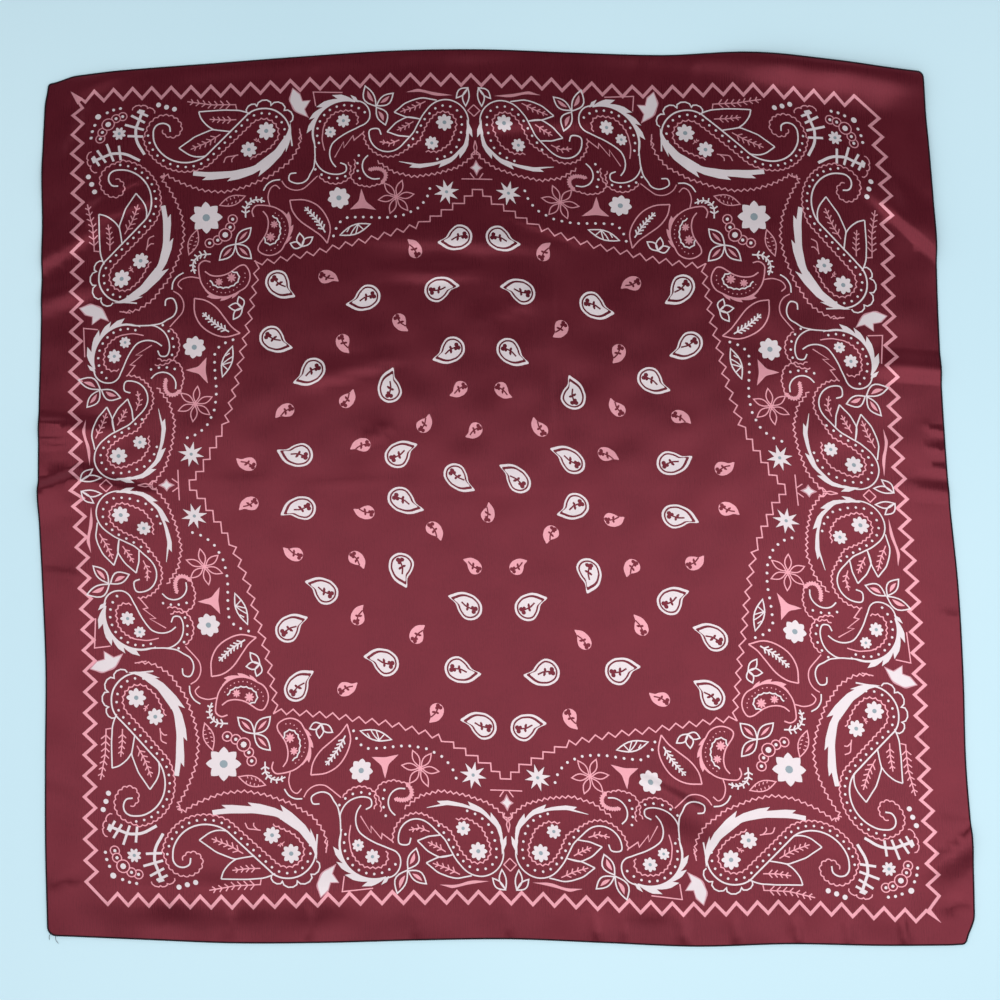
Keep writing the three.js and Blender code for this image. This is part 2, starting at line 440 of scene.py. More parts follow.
# %% [markdown]
# The border has one repeat, an eighth of the square: the same motifs are mirrored about both middles and
# both diagonals. The next tools draw the kinds of motif that a bandana repeats: flowers and stars round a
# grey eye, leaves with a heart or a sprig in them, fishbone sprigs, torn crescents and rows of beads.

# %% Motif tools
def direction(degrees):
    return np.array([np.cos(np.radians(degrees)), np.sin(np.radians(degrees))])


def flower(block, x, y, radius, ink=WHITE, petals=8, notch=0.31, eye=GREY, turn=0, round_off=1.5):
    """A flat flower with notches between its petals and a small eye. A low round_off points the petals."""
    angle = np.linspace(0, 2 * np.pi, petals * 6, endpoint=False)
    across = np.abs((angle * petals / np.pi + 1) % 2 - 1)
    reach = radius * (1.03 - notch * across ** round_off)
    turned = angle + np.radians(turn)
    block.fill(ink, np.stack([x + reach * np.cos(turned), y + reach * np.sin(turned)], axis=1))
    if eye is not None:
        block.fill(eye, disc(x, y, radius * 0.24, 10))


def star(block, x, y, radius, points=8, inner=0.42, turn=12):
    angle = np.linspace(0, 2 * np.pi, 2 * points, endpoint=False) + np.radians(turn)
    reach = np.where(np.arange(2 * points) % 2, radius * inner, radius)
    block.fill(WHITE, np.stack([x + reach * np.cos(angle), y + reach * np.sin(angle)], axis=1))
    block.fill(GREY, disc(x, y, radius * 0.13, 8))


def leaf_outline(base, tip, width, bend=0.0, steps=8):
    """A leaf from base to tip. A bend moves its middle to the left, so that one side is fuller."""
    base, tip = np.array(base, float), np.array(tip, float)
    spine = tip - base
    left = np.array([-spine[1], spine[0]]) / np.hypot(*spine)
    share = np.linspace(0, 1, steps)[:, None]
    swell = np.sin(np.pi * share)
    middle = base + spine * share + left * bend * swell
    return np.vstack([middle + left * width / 2 * swell, (middle - left * width / 2 * swell)[-2:0:-1]])


def leaf(block, base, tip, width, bend=0.0, ink=WHITE, heart=None, pen=THIN, heart_size=0.34):
    """An outlined leaf, with a small solid leaf of another ink inside it if a heart is given."""
    block.line(ink, leaf_outline(base, tip, width, bend), pen, closed=True)
    if heart is not None:
        base, tip = np.array(base, float), np.array(tip, float)
        start, end = base + (tip - base) * 0.22, base + (tip - base) * 0.78
        block.fill(heart, leaf_outline(start, end, width * heart_size, bend * 0.6))


def fishbone(block, stem, pairs, twig, ink=ROSE, pen=FINE, lean=48, taper=0.35, sides=(-1, 1)):
    """A sprig: a stem with pairs of twigs that lean towards its tip and grow shorter."""
    block.line(ink, stem, pen)
    spots = resample(np.array(stem, float), pairs + 2)
    for number in range(1, pairs + 1):
        ahead = spots[number] - spots[number - 1]
        heading = np.degrees(np.arctan2(ahead[1], ahead[0]))
        reach = twig * (1 - taper * number / pairs)
        for side in sides:
            end = spots[number] + reach * direction(heading + side * lean)
            block.line(ink, np.array([spots[number], end]), pen)


def torn_band(block, ink, path, teeth, undercut=0.03):
    """A torn crescent to the left of a path, or to its right if the widths are negative. Each tooth is given
    by the share of the path where it starts, its width there and its width where the next one starts."""
    spots = resample(path, 41)
    sides = normals(spots)
    walk = np.linspace(0, 1, 41)

    def edge(share, width):
        place = np.array([np.interp(share, walk, spots[:, axis]) for axis in (0, 1)])
        side = np.array([np.interp(share, walk, sides[:, axis]) for axis in (0, 1)])
        return place + side * width

    outer = []
    ends = [tooth[0] for tooth in teeth[1:]] + [1.0]
    for (start, wide, narrow), end in zip(teeth, ends):
        outer.append(edge(max(start - undercut, 0), wide))
        for part in (0.25, 0.5, 0.75, 1):
            outer.append(edge(start + (end - start) * part, wide + (narrow - wide) * part))
    block.fill(ink, np.vstack([path, outer[::-1]]))


def bead_row(block, spots, radius, big):
    """Beads in a row, each with a white dot. Each overlaps the one before, and the large one lies on top."""
    for number in sorted(range(len(spots)), key=lambda number: -abs(number - big)):
        x, y = spots[number]
        size = radius * (1.4 if number == big else 1.0)
        block.fill(ROSE, disc(x, y, size + FINE / 2, 14))
        block.fill(GROUND, disc(x, y, size - FINE / 2, 14))
        block.fill(WHITE, disc(x, y, size * 0.46 if number == big else size * 0.36, 8))


print("motif tools: flower, star, leaf, fishbone, torn band, bead row")

# %% [markdown]
# The largest motif is the paisley of the corner. Like the others it is drawn as with a compass: a spiral
# for its tail, a wide arc for its back and a round head, joined by straight runs and faired into one curve.
# A row of dots and a scalloped line follow it, a torn white crescent lies under its head, and two leaves
# grow from its back. A torn crescent is one plain arc and one that widens and drops back, tooth by tooth.

# %% The corner paisley
border = Block()
corner_spine = fair(
    arc(-246.5, 286.5, 4.6, 5, 150, 10, end_radius=9.8), arc(-229, 288, 27.2, 192, 302, 12),
    arc(-168.4, 280.4, 21.8, 119, 6, 12), (-145.2, 270),
)
border.line(WHITE, corner_spine, FIRM)
corner_follow = fair(
    arc(-240.6, 290, 7.4, 188, 345, 8), arc(-246.6, 286.8, 13.8, 12, 172, 12),
    arc(-229, 288, 34, 188, 301, 14),
    arc(-168.4, 281, 13.4, 140, -22, 12), (-163, 267.9), (-178.5, 260.5), spacing=1.6,
)
border.line(ROSE, scalloped(corner_follow[::-1], 4.6, 1.2), FINE)
border.dots(WHITE, fair(
    arc(-229, 288, 30.8, 186, 302, 14), arc(-168.4, 280.6, 17.8, 135, -22, 12), (-158, 264.5),
    (-172.5, 256.6),
), 6.2, 1.0)
crescent_back = fair(
    (-224, 253.6), (-212, 252.2), (-192.5, 252.2), (-176, 255), (-159, 267.4), (-149, 280.5), (-146.4, 289),
)
torn_band(border, WHITE, crescent_back, [
    (0, -3.6, -4.0), (0.11, -6.8, -5.2), (0.31, -8.2, -5.6), (0.54, -9.6, -6.0), (0.8, -8.2, 0),
])
head_scallops = [(-181, 299.8), (-172.8, 304.4), (-161.4, 304.2), (-151, 299.2), (-146.6, 289.6)]
border.line(WHITE, lobes(head_scallops, 0.42), THIN)

# The leaves on its back with their sprigs, the sprig above them and the flowers in its head.
border.line(WHITE, fair((-207.4, 286.9), (-212.6, 290.4), (-217.4, 296), (-219.4, 302.3)), THIN)
border.line(WHITE, fair((-219.4, 302.3), (-200, 302.6), (-186, 301.6), (-178.4, 298.4)), THIN)
border.line(WHITE, fair((-235, 273), (-222, 282), (-209, 287), (-193.5, 284.6)), THIN)
border.line(WHITE, fair((-235, 273), (-228, 267.6), (-221, 264.8), (-213.5, 265.6)), THIN)
fishbone(border, [(-189.4, 294.2), (-199, 294.3), (-210.7, 295.6)], 4, 4.4)
fishbone(border, fair((-202, 282.8), (-212, 276.8), (-225.6, 271.6)), 5, 4.8)
fishbone(border, fair((-189.5, 306.5), (-209, 307.4), (-228.8, 311.3)), 7, 5)
border.line(ROSE, [(-190, 306.5), (-189.2, 302.6)], FINE)
flower(border, -165.6, 283.5, 7.2)
flower(border, -179.6, 269.1, 6.4, turn=10)
fishbone(border, [(-170.4, 274.2), (-173, 276.6), (-175.6, 277)], 2, 2.4, pen=0.7)
border.line(ROSE, fair((-199.8, 259.4), (-198, 263.6), (-188.1, 265.2)), FINE)
border.line(ROSE, fair((-190.4, 264.8), (-193.4, 262), (-193.2, 259.4)), FINE)
for x, y in ((-251.7, 309.8), (-245.3, 307.6), (-238.9, 305.6)):
    border.fill(WHITE, disc(x, y, 2.0, 10))

# A jagged rose line runs below the crescent, from the diagonal round to the next paisley.
border.line(ROSE, toothed(fair(
    (-249, 250), (-246.5, 252.6), (-243, 249.6), (-231, 242.8), (-216, 237), (-200, 235.2), (-184, 238.4),
    (-164, 246), (-147.7, 257.3), (-139.6, 269), (-138.4, 281),
), 5.0, 1.9), FINE)
border.line(ROSE, [(-137.6, 275), (-139.2, 284)], FINE)
print("corner paisley:", len(border.marks), "outlines")

# %% [markdown]
# The middle of each side holds two more paisleys. The one beside the corner has a tail that curls back under
# it and a jagged back; the one next to the axis leans towards its mirror image, and both have dots, a wavy
# line and two flowers inside. A trefoil, a white fang and a few short strokes fill the gaps between them.

# %% The paisleys of the middle
drawn = len(border.marks)
border.line(WHITE, fair(
    arc(-102.5, 279, 25.9, 72, 196, 14), arc(-111.5, 261.6, 16.4, 196, 276, 8),
    arc(-107.2, 249.8, 4.6, -70, 95, 7),
), THIN)
border.line(WHITE, fair(
    arc(-95, 292.4, 12.2, 82, -32, 10), (-94.4, 281.6), (-103, 278), arc(-100.6, 262, 15.2, 138, 226, 9),
), THIN)
border.dots(WHITE, fair(arc(-103, 279, 22.3, 44, 200, 14)), 6.2, 1.0)
border.dots(WHITE, fair(arc(-111.5, 261.6, 19.8, 216, 292, 8)), 6.2, 1.0)
border.line(ROSE, toothed(fair(
    (-93.4, 284.6), arc(-100.6, 288.4, 8.4, -12, 100, 7), arc(-102, 278.6, 18.8, 112, 160, 6),
), 4.2, 1.2), FINE)
border.line(ROSE, fair(arc(-102, 278.6, 18.8, 150, 170, 4), (-121.4, 273), (-119.6, 265)), FINE)
torn_band(border, WHITE, fair(arc(-102.5, 279, 26.2, 206, 66, 16)), [
    (0, 0.6, 1.0), (0.24, 5.0, 1.6), (0.39, 5.4, 1.8), (0.54, 5.8, 2.2), (0.74, 6.6, 0.8), (0.93, 4.6, 0),
], undercut=0.045)
flower(border, -104.1, 288.5, 5.4)
flower(border, -114.6, 279.8, 4.5, turn=15)
border.line(ROSE, [
    (-87.8, 278.4), (-96, 272.2), (-96.8, 275.8), (-104.2, 266.6), (-104.4, 271.4), (-111.9, 258.9),
], 0.9)
border.line(WHITE, fair(
    (-127.2, 261.6), (-128.4, 252), arc(-141.2, 250.4, 11.2, 305, 270, 5),
    arc(-144.8, 244.2, 4.3, 250, 60, 8),
), THIN)
border.line(ROSE, fair(arc(-142.6, 246.4, 12.6, 200, 300, 9), (-126, 244.6)), FINE)
border.line(ROSE, scalloped(fair(arc(-111.8, 253.4, 15.4, 214, 372, 14))[::-1], 4.2, 1.0), FINE)

# The paisley next to the axis.
border.line(WHITE, fair(
    arc(-78.4, 276.6, 4.2, -15, 120, 6), arc(-69.4, 276.4, 14.6, 160, 312, 12), (-49, 275.8),
    (-40.8, 291.4),
    arc(-22.4, 286, 17.8, 140, -28, 13), (-5.2, 271),
), THIN)
border.dots(WHITE, fair(
    (-52.8, 266.4), (-45.4, 277), (-38.4, 289.4), arc(-23.2, 285.4, 13.6, 138, 0, 10), (-11, 276),
    (-14.6, 264.8),
    (-23.5, 257.6), (-30.6, 255.2),
), 6.2, 1.0)
border.line(ROSE, toothed(fair(
    (-88.5, 279), (-87.6, 270.6), arc(-69, 276.2, 18.6, 205, 298, 10), (-44.2, 269.8), (-37.4, 284),
    arc(-24.6, 283.6, 10.4, 138, -25, 10), (-20, 267.6), (-30, 261), (-39.5, 261.6),
), 4.2, 1.3), FINE)
torn_band(border, WHITE, fair(
    (-61.1, 253.8), (-45, 251.3), (-32, 252.6), (-19, 257), (-9.4, 266.6), (-6.2, 276), (-5.9, 287.6),
), [(0, -0.4, -1.4), (0.14, -3.9, -2.0), (0.42, -5.0, -2.2), (0.63, -5.2, -1.8), (0.86, -5.2, 0)])
border.line(ROSE, toothed(fair(
    (-78.4, 254.4), (-66, 245.2), (-50, 241), (-32, 243.4), (-15, 248.6), (-8.6, 252.8), (-3.4, 257.4),
    (0, 262),
), 4.6, 1.8), FINE)
flower(border, -23.7, 285.0, 6.7)
flower(border, -34.4, 268.2, 5.4, turn=12)
border.line(WHITE, fair((-29.4, 303.3), (-42, 305.6), (-54, 301.6), (-63.5, 293.7)), THIN)
border.line(WHITE, fair((-63.5, 293.7), (-55, 289.8), (-43.6, 287.9)), THIN)
border.line(WHITE, fair((-43.4, 287.8), (-52, 290), (-61, 286), (-69.5, 277.6)), THIN)
border.line(WHITE, fair((-69.5, 277.6), (-61, 274.4), (-51.4, 273.2)), THIN)
fishbone(border, [(-38.4, 302.4), (-48, 297.6), (-58.6, 294)], 4, 4.2)
fishbone(border, [(-48.4, 285.6), (-55, 281.6), (-61.6, 278.6)], 3, 4)
fishbone(border, [(-60, 271), (-67, 268.4), (-75.6, 270)], 3, 3.8)
print("paisleys of the middle:", len(border.marks) - drawn, "outlines")

# %% [markdown]
# What lies between the paisleys fills its gap and no more: a trefoil, a long thin petal, a white fang with a
# blurred rose rim, a small hook with a toothed back, and on the axis two leaves, a diamond and a little
# white spark. On the axis only the left half is drawn, because the stamping mirrors it.

# %% The fillers between the paisleys
drawn = len(border.marks)
for base, tip, width, bend in (
    ((-78, 299), (-86.4, 316), 8.6, 1.5), ((-77.4, 299.4), (-64.1, 309.2), 7.8, -0.8),
    ((-77.6, 298), (-70.6, 283.2), 8.4, 1.2),
):
    leaf(border, base, tip, width, bend, heart=ROSE)
border.fill(ROSE, np.vstack([
    fair((-54, 310), (-44, 312.8), (-33, 310), (-16.5, 307.4)),
    fair((-16.5, 307.4), (-30, 306.7), (-41, 310.2), (-54, 310)),
]))
border.fill(BLUSH, fair((-144.6, 317.6), (-147.6, 308), (-143.4, 298), (-131.6, 292.4)).tolist() + [
    (-134.6, 299.4), (-130, 306.8), (-136.4, 306.6), (-138.4, 312.6)])
border.fill(WHITE, fair((-144.1, 316.4), (-146.7, 308), (-142.7, 299), (-133.2, 293.8)).tolist() + [
    (-135.4, 299.8), (-131, 306.1), (-137, 305.9), (-138.8, 311.6)])
border.line(ROSE, [(-126.1, 301.8), (-128, 313.3), (-104.6, 311.7)], 0.9)
border.line(WHITE, fair(arc(-79.8, 250.4, 10.6, 122, 286, 12)), THIN)
border.dots(WHITE, fair((-92.7, 259.5), (-94.6, 250), (-92.8, 241)), 6.2, 1.0)
hook_back = fair(
    (-101.1, 254.6), (-98.6, 249.8), (-100.2, 243.6), (-95, 236.6), (-86, 234.4), (-75.6, 236.8),
)
border.line(ROSE, scalloped(hook_back[::-1], 4.2, 1.0)[::-1], FINE)
hook_tip = fair((-76, 236.4), (-71.8, 241), (-72.6, 246.6), (-78.6, 248.8), (-85.2, 247.4))
border.line(ROSE, toothed(hook_tip, 1.7, 0.9), 2.0)
for base, tip in (((-4.4, 313.6), (-13.6, 305.2)), ((-4.2, 313.2), (-6.4, 298.6))):
    leaf(border, base, tip, 5.2, -0.8)
border.line(ROSE, [(0, 299.6), (-4.8, 294.7), (0, 289.8)], FINE)
border.line(ROSE, fair((0, 270.6), (-1.3, 265), (-0.4, 262)), FINE)
border.line(ROSE, [(-0.2, 262.4), (-3.4, 259.4), (-2.2, 256)], FINE)
border.fill(BLUSH, [(0, 255), (-2.2, 250.6), (-5.2, 248.5), (-2.2, 246.4), (0, 242)])
border.fill(WHITE, [(0, 252.8), (-1.5, 250), (-3.6, 248.5), (-1.5, 247), (0, 244.2)])
border.line(ROSE, [(-12.2, 239.3), (0.2, 239.3)], FINE)
border.line(ROSE, [(-5.2, 244.2), (-2, 239.8)], FINE)
print("fillers:", len(border.marks) - drawn, "outlines")

# %% [markdown]
# Between the paisleys and the inner zigzag lies a looser row: a star, a six-petalled flower, a concave
# triangle, an arc of dots, an eye-shaped leaf, a broad leaf with a sprig, and a small kidney-shaped paisley.

# %% The inner row
drawn = len(border.marks)
star(border, -24.6, 228.7, 10.2)
for petal in range(6):
    way = 8 + 60 * petal
    tip = np.array([-64.7, 225]) + 14.2 * direction(way)
    leaf(border, np.array([-64.7, 225]) + 1.4 * direction(way), tip, 5.0, 0, ROSE, pen=FINE)
flower(border, -64.7, 225, 2.0, ROSE, petals=6, eye=None)
border.fill(ROSE, np.vstack([
    fair((-91.9, 232.6), (-94.6, 222.6), (-101.6, 216.2)),
    fair((-101.6, 216.2), (-91.3, 216.8), (-80.8, 214.9)),
    fair((-80.8, 214.9), (-88.6, 222.2), (-91.9, 232.6)),
]))
flower(border, -109.9, 225.9, 8.7, notch=0.24, turn=8, round_off=1.25)
border.dots(WHITE, fair(
    (-115.2, 195.4), (-111.6, 204.8), (-104.6, 210), (-92, 209.6), (-75, 208.2), (-60, 209.8), (-48, 215.4),
    (-40.4, 223.4), (-37.7, 231.4),
), 6.35, 1.1)
eye_leaf = leaf_outline((-110, 195.8), (-86, 203.6), 7.6, 0.2)
border.line(WHITE, eye_leaf, THIN, closed=True)
border.line(WHITE, fair((-102, 195.2), (-99, 200.6), (-94.6, 204.8)), FINE)
border.line(WHITE, [(-104.6, 198), (-102.6, 201.2)], FINE)
border.line(WHITE, [(-97.6, 196.4), (-95.4, 203.8)], FINE)
border.line(WHITE, [(-96.4, 204.6), (-91.4, 199.4)], FINE)
border.line(ROSE, smooth([
    (-148.7, 226), (-137, 225.6), (-127.2, 220.8), (-120.6, 212), (-117.6, 201.4), (-120.2, 189.8),
], 4), THIN)
border.line(ROSE, smooth([
    (-120.2, 189.8), (-125.2, 196.2), (-132, 201.6), (-141.4, 209), (-147, 217.4), (-148.7, 226),
], 4), THIN)
fishbone(border, fair((-121.6, 198.6), (-128, 209.6), (-137, 219.6)), 7, 4.2, WHITE, pen=1.15)
for tip, width in (((-149.3, 191), 5.4), ((-141.8, 198.8), 5.8), ((-131.6, 195.2), 5.4)):
    leaf(border, (-140.4, 188.2), tip, width, 0.3)
kidney = fair(
    (-177.6, 214), arc(-172.4, 217.4, 6.6, 200, 110, 5), arc(-168.6, 203.4, 19.2, 84, -28, 10),
    arc(-165.4, 194, 12.0, -40, -150, 8), arc(-186.6, 208.6, 20.4, -38, 14, 6), (-170.2, 218.3),
)
border.line(ROSE, kidney, THIN)
torn_band(border, ROSE, fair(arc(-168.6, 203.4, 19.6, 48, -48, 10)), [
    (0, 0.4, 1.0), (0.16, 3.4, 0.6), (0.46, 2.8, 0.4), (0.72, 2.2, 0),
])
border.line(WHITE, scalloped(fair(
    (-162.8, 214.4), (-157.6, 210.4), (-156.2, 203), (-158, 194.6), (-163, 190.2), (-168.6, 191.6),
    (-170, 197),
)[::-1], 4.6, 0.7), THIN)
border.dots(ROSE, fair(arc(-168.2, 202.8, 15.4, 60, -55, 10), (-163, 186.4), (-168, 186.2)), 3.4, 0.5)
flower(border, -161.6, 207.0, 3.1, ROSE, notch=0.5, eye=None)
flower(border, -164.8, 197.0, 3.7, ROSE, notch=0.5, eye=None)
fishbone(border, smooth([
    (-184, 213.6), (-183.4, 221.8), (-179.2, 226.6), (-173.8, 227.8), (-168.4, 226),
], 4), 6, 3.9, WHITE, pen=1.15, lean=60)
border.line(ROSE, smooth([
    (-164.7, 222.6), (-165.8, 229.4), (-163.8, 236), (-159.6, 238.8), (-156, 235.6),
], 4), FINE)
border.line(WHITE, fair(arc(-157.4, 230.6, 12.6, 160, 82, 7)), THIN)
rose_leaf = leaf_outline((-204, 224.6), (-183.8, 231.2), 7.8, 0)
border.line(ROSE, rose_leaf, FINE, closed=True)
for along in (0.3, 0.45, 0.6, 0.75):
    spot = np.array([-204, 224.6]) * (1 - along) + np.array([-183.8, 231.2]) * along
    border.line(ROSE, [spot + (0.4, -2.6), spot + (0.9, -0.8)], 0.7)
    border.line(ROSE, [spot + (-0.6, 2.8), spot + (-0.2, 1.0)], 0.7)
print("inner row:", len(border.marks) - drawn, "outlines")

# %% [markdown]
# The zigzag just inside the inner row is thin. From the diagonal it rises to a stair of square steps at
# the middle of each side, so each eighth prints half a side of it.

# %% The inner zigzag
teeth_path = smooth([
    (-178, 176), (-165, 177.3), (-150, 179.6), (-135, 181.8), (-120, 185), (-104, 188.4), (-90, 190.8),
    (-78, 193.6), (-65, 197), (-49.9, 201.2),
])
TEETH = 13
teeth = resample(teeth_path, 2 * TEETH)
teeth[::2, 1] += 2.2
teeth[1::2, 1] -= 2.2
teeth[1] += (1.1, 0.5)
steps = [
    (-47.8, 204.4), (-38.6, 204.6), (-38.4, 209), (-29.6, 209), (-29.4, 214.2), (-20.4, 214.2),
    (-20.2, 219.4),
    (-10.8, 219.4), (-10.6, 225.4), (-4.2, 225.6), (-4, 230.8), (0.2, 230.8),
]
border.line(ROSE, np.vstack([teeth, steps]), 1.0)
print("inner zigzag: teeth about", round(length_of(teeth_path) / TEETH, 1), "mm apart")

# %% [markdown]
# Each corner adds its own motifs on the diagonal: rows of beads, dots, two flowers and a trefoil. They are
# their own mirror image, so they are drawn whole and stamped only four times. The fishbone beside them has
# an upright and a lying copy, so it belongs to the eighths.

# %% The motifs on the diagonals
border.line(WHITE, fair((-262.4, 269.2), (-268.6, 280), (-269.8, 290), (-264.6, 305)), 2.2)
for start, end in (
    ((-276, 285.4), (-263.6, 284.2)), ((-278.2, 295), (-263, 289.8)), ((-273.4, 302.4), (-262.4, 295.8)),
    ((-268.6, 305.4), (-260, 301)), ((-267.4, 306.4), (-262.8, 304.8)),
):
    border.line(WHITE, [start, end], 1.9)
border.line(ROSE, lobes([(-272.4, 306.8), (-265.6, 309.4), (-260.4, 307.4), (-254.8, 303)], 0.3, 4), FINE)
border.line(ROSE, lobes([(-247.6, 253), (-250.4, 250.4)], 0.5, 4), FINE)
corner = Block()
for x, y in ((-294.7, 304.3), (-289.6, 306.2), (-284.2, 307)):
    corner.fill(WHITE, disc(x, y, 1.25, 8))
    corner.fill(WHITE, disc(-y, -x, 1.25, 8))
corner.fill(WHITE, disc(-301.7, 301.7, 2.3, 12))
bead_row(corner, [(-282.5, 299.8), (-287.8, 298.4), (-294, 294), (-298.4, 287.8), (-299.8, 282.5)], 3.5, 2)
flower(corner, -285.2, 285.4, 5.4, notch=0.4, turn=22)
bead_row(corner, [
    (-194.2, 212.8), (-196.4, 206.4), (-200.4, 200.4), (-206.4, 196.4), (-212.8, 194.2),
], 3.6, 2)
flower(corner, -215, 215, 12.6, notch=0.29, round_off=1)
for tip, width in (((-180, 205.2), 8.4), ((-205.2, 180), 8.4), ((-180.2, 180.2), 9.0)):
    leaf(corner, (-192.4, 192.4), tip, width, 0, heart=ROSE, heart_size=0.24)
print("on the diagonals:", len(corner.marks), "outlines")

# %% [markdown]
# The outer zigzag frames everything: thick, a tooth each 16 mm, with a star-like point in two corners and
# a cut corner in the other two, as the print was set.

# %% The outer zigzag
frame_zigzag = Block()
FRAME_TEETH, TOOTH_HIGH = 38, 8.6


def zigzag_side(stops, line, inwards, drift):
    """The corners of one side's teeth. They follow a line that drifts a little, as the cloth was pulled."""
    corners = np.arange(2 * FRAME_TEETH + 1)
    along = np.interp(corners / 2, np.arange(FRAME_TEETH + 1), stops)
    across = line + np.interp(along, *zip(*drift)) + inwards * TOOTH_HIGH * (corners % 2)
    return along, across


def slipped(first, last, slips):
    """The feet of evenly spaced teeth, each moved along by what the cloth slipped there."""
    stops = np.linspace(first, last, FRAME_TEETH + 1)
    return stops + np.interp(stops, *zip(*slips))


top = zigzag_side(
    slipped(-302.9, 307.4, [(-303, -0.3), (-245, -3), (-200, -3.5), (-90, -4.5), (25, -3.5), (300, -2.6)]),
    323.9, -1, [(-290, 1.5), (-245, 0), (-200, -1), (-90, 0.7), (60, 0), (120, -3), (200, -1), (300, -0.8)],
)
right = zigzag_side(
    slipped(308.2, -307.7, [(-308, 0), (120, 0), (200, 1.2), (290, 1.2), (308, 0)]),
    325, -1, [
        (-290, -0.5), (-110, -1), (50, -2), (160, -1), (205, 0.6), (225, 1.4), (260, 2.8), (280, 1.2),
        (308, -1.4),
    ],
)
bottom = zigzag_side(
    slipped(308.6, -301.7, [
        (-302, -4.5), (-245, -6), (-200, -6.5), (-65, -5), (70, -2.5), (160, -1.5), (308, -2.3),
    ]),
    -328.4, 1, [
        (-290, -0.5), (-245, 0.5), (-200, 2), (-155, 3.5), (-110, 4.8), (25, 4.5), (115, 3.2), (205, 4.5),
        (250, 4), (308, 1),
    ],
)
left = zigzag_side(
    np.concatenate([
        np.linspace(-312.5, -16, FRAME_TEETH // 2), (-3.4, 12.4),
        np.linspace(28, 307, FRAME_TEETH // 2 - 1),
    ]),
    -322.6, 1, [
        (-290, 0.5), (-245, 1), (-155, 2.4), (-20, 1.5), (25, 0), (115, 0), (205, 1.5), (250, 3),
        (300, 2.5),
    ],
)
ring = np.vstack([
    [(-321.5, 326.5), (-310.4, 317.2)], np.column_stack(top), np.column_stack(right[::-1]),
    [(316.6, -318.4), (325.4, -328.2), (314.4, -319)], np.column_stack(bottom), np.column_stack(left[::-1]),
    [(-312.6, 312.6)],
])
print("outer zigzag corners:", len(ring))
frame_zigzag.line(ROSE, ring, BOLD, closed=True)
frame_zigzag.fill(ROSE, [(-322.2, 327.2), (-312.2, 320.4), (-316.6, 315.8)])

# %% [markdown]
# The field inside is strewn with two kinds of drops that face all ways: large ones with a ring, a dark gap
# and a white heart, and small rose ones. Each has a dark sprig in it. Both kinds share one drop outline,
# which leans to one side like a comma, and the quarter of the field is mirrored into the other three.

# %% The drops of the field
DROP = [
    (1.95, 0), (1.22, 0.2), (0.72, 0.66), (0, 1), (-0.7, 0.7), (-1, 0), (-0.7, -0.7), (0, -1.02),
    (0.5, -1.02),
    (1, -0.92), (1.4, -0.68), (1.72, -0.34),
]
LARGE_DROPS = [
    (-14.8, 192.6, -166, -1), (-88.6, 145.7, -163, -1), (-34.7, 149.6, 10, -1), (-160.2, 160.5, -41, 1),
    (-165.3, 115.9, -27, 1), (-22, 103.3, -152, -1), (-132.5, 89.1, -149, -1), (-72.8, 69.7, 80, -1),
    (-69.4, 17, 29, -1), (-143.9, 21.3, 165, -1),
]
SMALL_DROPS = [
    (-50.9, 181, 123, 1), (-122.2, 162.9, -23, -1), (-64.6, 125.8, -50, 1), (-109.4, 110.9, -62, 1),
    (-16.6, 71.8, -146, -1), (-107.5, 62.8, 59, 1), (-153.5, 57.6, -147, 1), (-47.4, 41.1, 63, 1),
    (-94.9, 27.1, -163, 1), (-184, 15.7, 153, -1),
]
LARGE_RADIUS, SMALL_RADIUS = 9.6, 5.6


def drop_outline(x, y, radius, heading, hollow):
    """A drop round x, y whose tip points along the heading. Its hollow side is +1 for left of the tip."""
    path = smooth([(along, across * hollow) for along, across in DROP], 3, closed=True) * radius
    ahead = direction(heading)
    return np.array([x, y]) + path[:, :1] * ahead + path[:, 1:] * np.array([-ahead[1], ahead[0]])


def drop_sprig(block, x, y, radius, heading):
    """A small dark sprig in a drop: a bent stem with two leaves and a flower of three round petals."""
    ahead = direction(heading)
    left = np.array([-ahead[1], ahead[0]])

    def spot(along, across):
        return np.array([x, y]) + radius * (along * ahead + across * left)

    stem = fair(spot(0.95, 0.14), spot(0.35, -0.04), spot(-0.4, 0.02), spacing=radius / 12)
    block.line(GROUND, stem, radius * 0.15)
    for along, across in ((0.42, 0.34), (0.16, -0.36)):
        root, tip = spot(0.2, -0.02), spot(along, across)
        block.line(GROUND, [root, (root + tip) / 2, tip], [radius * 0.1, radius * 0.26, radius * 0.12])
    for along, across, size in ((-0.5, 0.17, 0.23), (-0.46, -0.17, 0.22), (-0.2, 0.15, 0.16)):
        block.fill(GROUND, disc(*spot(along, across), radius * size, 7))


def large_drop(block, x, y, heading, hollow):
    inner = np.array([x, y]) + 0.25 * direction(heading)
    block.fill(WHITE, drop_outline(x, y, LARGE_RADIUS, heading, hollow))
    block.fill(GROUND, drop_outline(*inner, LARGE_RADIUS - 1.45, heading, hollow))
    block.fill(WHITE, drop_outline(*inner, LARGE_RADIUS - 2.75, heading, hollow))
    drop_sprig(block, x, y, 1.2 * (LARGE_RADIUS - 2.75), heading)


def small_drop(block, x, y, heading, hollow):
    block.fill(ROSE, drop_outline(x, y, SMALL_RADIUS, heading, hollow))
    drop_sprig(block, x, y, 1.3 * SMALL_RADIUS, heading)


field = Block()
for drop in LARGE_DROPS:
    large_drop(field, *drop)
for drop in SMALL_DROPS:
    small_drop(field, *drop)
middle_drops = Block()
large_drop(middle_drops, -25.7, 1.6, -39, 1)
lone_drops = Block()
small_drop(lone_drops, -5.5, 38.8, -146, -1)
small_drop(lone_drops, -2.7, -30.4, 80, 1)
print("drops in a quarter:", len(LARGE_DROPS), "large and", len(SMALL_DROPS), "small")

# %% [markdown]
# All blocks are stamped in turn, some eight times, some four times and the outer zigzag once.

